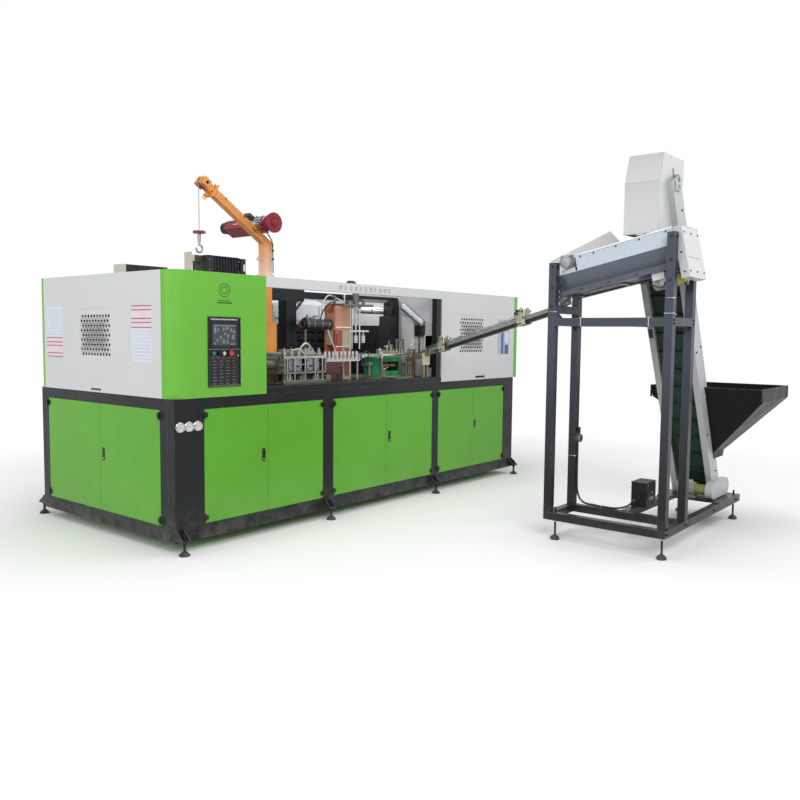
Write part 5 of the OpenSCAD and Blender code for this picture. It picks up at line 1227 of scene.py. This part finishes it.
for c, s in turns(24):
    if s > -0.7:
        p.rod((3535 + 55.4 * c, -2500, 300 + 55.4 * s), Y, -2360, 2, 5)
p.lathe([(0, 5), (36, 5), (50, 0)], (3535, -2340, 300), BACK, 40)
p.box((3500, -2470, 350), (3566, -2400, 372), 4)

# hood, hopper and boxes
p = Piece("hood_seams", "channel", "channel_grey")
p.box((2349, -2551, 2732), (2353, -2289, 2736), 0.6)
for y0, y1 in ((-2551.2, -2549.8), (-2290.2, -2288.8)):
    p.prism([(2350, 2360), (2350, 2735), (2420, 2945), (2428, 2945), (2358, 2733), (2358, 2360)], Y, y0, y1)
p.box((2346, -2552, 2356), (2352, -2288, 2366), 1)
p = Piece("hood_slot", "panel", "black_paint")
p.box((2602, -2551.6, 2792), (2624, -2549.8, 2862), 2, rot=("Y", -20))
p = Piece("hood_screws", "bolt")
for y in (-2551.2, -2288.8):
    s = -1 if y < -2500 else 1
    for x, z in ((2366, 2420), (2366, 2560), (2366, 2700), (2396, 2840), (2560, 2930), (2760, 2936)):
        p.screw((x, y, z), (0, s, 0), 4)
p.box((2351, -2440, 2350), (2359, -2390, 2360), 1)
p = Piece("hopper_rims", "hopper", "black_paint")
p.boxes((3348, -3053, 1184, 4172, -3045, 1194, 1), (3348, -2151, 1184, 4172, -2143, 1194, 1),
        (3348, -3050, 1184, 3356, -2146, 1194, 1), (4164, -3050, 1184, 4172, -2146, 1194, 1))
for x, y in product((3354, 4166), (-3046, -2150)):
    p.box((x - 7, y - 7, 1092), (x + 7, y + 7, 1186), 2)
p = Piece("hopper_gate_rod", "chrome")
p.sweep([(3905, -2960, 1048), (3890, -2958, 1060), (3800, -2900, 990), (3770, -2896, 950)], 4)
p = Piece("control_cover", "controls", "black_paint")
p.boxes((2878, -2334, 224, 3052, -2329.8, 410, 2), (2862, -2332, 414, 3068, -2198, 420, 2))
p.rod((2862, -2262, 300), X, 2872, 14, 20, 2)
p = Piece("control_switches", "bolt")
for x, z in product((2890, 3040), (236, 398)):
    p.screw((x, -2334, z), FRONT, 4)
p.rods(((2965, -2340, 330), Y, -2334, 11, 24, 1), ((2868, -2232, 262), X, 2852, 13, 6))
p.lathe(ring(26, 33.5, 0, 4), (2640, -1847, 767), FRONT, 40)
p = Piece("control_plate", "legend_dim")
p.box((2920, -2335, 270), (3010, -2333.8, 300), 0.2)
p = Piece("cable_clips", "tie", "white_paint")
for x, y, z in ((2644, -1868, 252), (2652, -2040, 224), (2700, -2205, 230)):
    p.loop([(x + 10 * c, y + 2, z + 10 * s) for c, s in turns(12)], 2, 6)
    p.cyl((x, y, z - 9), (x - 14, y - 6, z - 26), 1.5, seg=6)

# feet
p = Piece("foot_nuts", "bolt")
for x, y in ((2240, -2703), (2240, -1845), (3957, -2703)):
    p.rod((x, y, 140), Z, 153.5, 17, 6)

# rear panels' screws
p = Piece("rear_screws", "bolt")
for x, z in product((300, 700, 1050), (1180, 1600, 2010)):
    p.screw((x, 1914, z), BACK, 6)
for x, z in product((3260, 3700, 4150, 4580), (1180, 1600, 2010)):
    p.screw((x, 1914, z), BACK, 6)
for y, z in product((60, 700, 1300, 1860), (1180, 2010)):
    p.screw((4689, y, z), RIGHT, 6)

finish()

# ---------- stage: a floor that is white to the camera and grey to the light ----------
bm = bmesh.new()
FLOOR_SIZE, FLOOR_Z = 30, -0.001
MIDDLE, WHITE_FROM, WHITE_TO = (2.0, -0.6, 0), 3.2, 6.5  # the floor's shading fades to white between these radii
GREY, NEAR_WHITE = (0.5, 0.5, 0.5), (0.96, 0.96, 0.96)
bmesh.ops.create_grid(bm, x_segments=1, y_segments=1, size=FLOOR_SIZE, matrix=Matrix.Translation((0, 0, FLOOR_Z)))
me = bpy.data.meshes.new("floor")
bm.to_mesh(me)
floor = bpy.data.objects.new("floor", me)
bpy.context.scene.collection.objects.link(floor)
fm = Mat("floor_white")
seen = fm.seen()
fm.out(GREY, 0.9)
fm.set(fm.b.inputs["Base Color"], fm.mixc(seen, GREY, NEAR_WHITE))
far_off = fm.node("ShaderNodeVectorMath", operation="DISTANCE")
fm.link(fm.co, far_off.inputs[0])
far_off.inputs[1].default_value = MIDDLE
white = fm.node("ShaderNodeEmission")
blend = fm.node("ShaderNodeMixShader")
fm.link(fm.math("MULTIPLY", seen, fm.ramp(far_off.outputs["Value"], WHITE_FROM, WHITE_TO)), blend.inputs[0])
fm.link(fm.b.outputs[0], blend.inputs[1])
fm.link(white.outputs[0], blend.inputs[2])
fm.link(blend.outputs[0], fm.t.nodes["Material Output"].inputs["Surface"])
me.materials.append(fm.m)
world = bpy.data.worlds.new("world")
bpy.context.scene.world = world
world.use_nodes = True
sky = Nodes(world.node_tree)
background = sky.t.nodes["Background"]
sky.link(sky.mixf(sky.seen(), 0.5, 1.0), background.inputs["Strength"])
background.inputs["Color"].default_value = (1, 1, 1, 1)


def area(name, loc, target, size, power):
    """a square lamp at loc that looks at target"""
    l = bpy.data.lights.new(name, "AREA")
    l.size = size
    l.energy = power
    o = bpy.data.objects.new(name, l)
    bpy.context.scene.collection.objects.link(o)
    o.location = loc
    o.rotation_euler = (Vector(target) - Vector(loc)).to_track_quat("-Z", "Y").to_euler()


area("key", (-3.5, -7.5, 6.5), (1.5, -0.5, 1), 4.5, 400)
area("fill", (-8, 2.0, 4.0), (0, 1, 1), 5, 200)
area("top", (2, -0.5, 8.5), (2, 0, 0), 5, 200)
area("back", (7.5, -6.5, 5), (3, -1.5, 1), 4, 120)
area("bay", (2.78, 0.75, 1.99), (2.78, 0.95, 1.2), 0.4, 3)
bpy.data.objects["bay"].visible_camera = False
bpy.context.scene.view_settings.view_transform = "Standard"
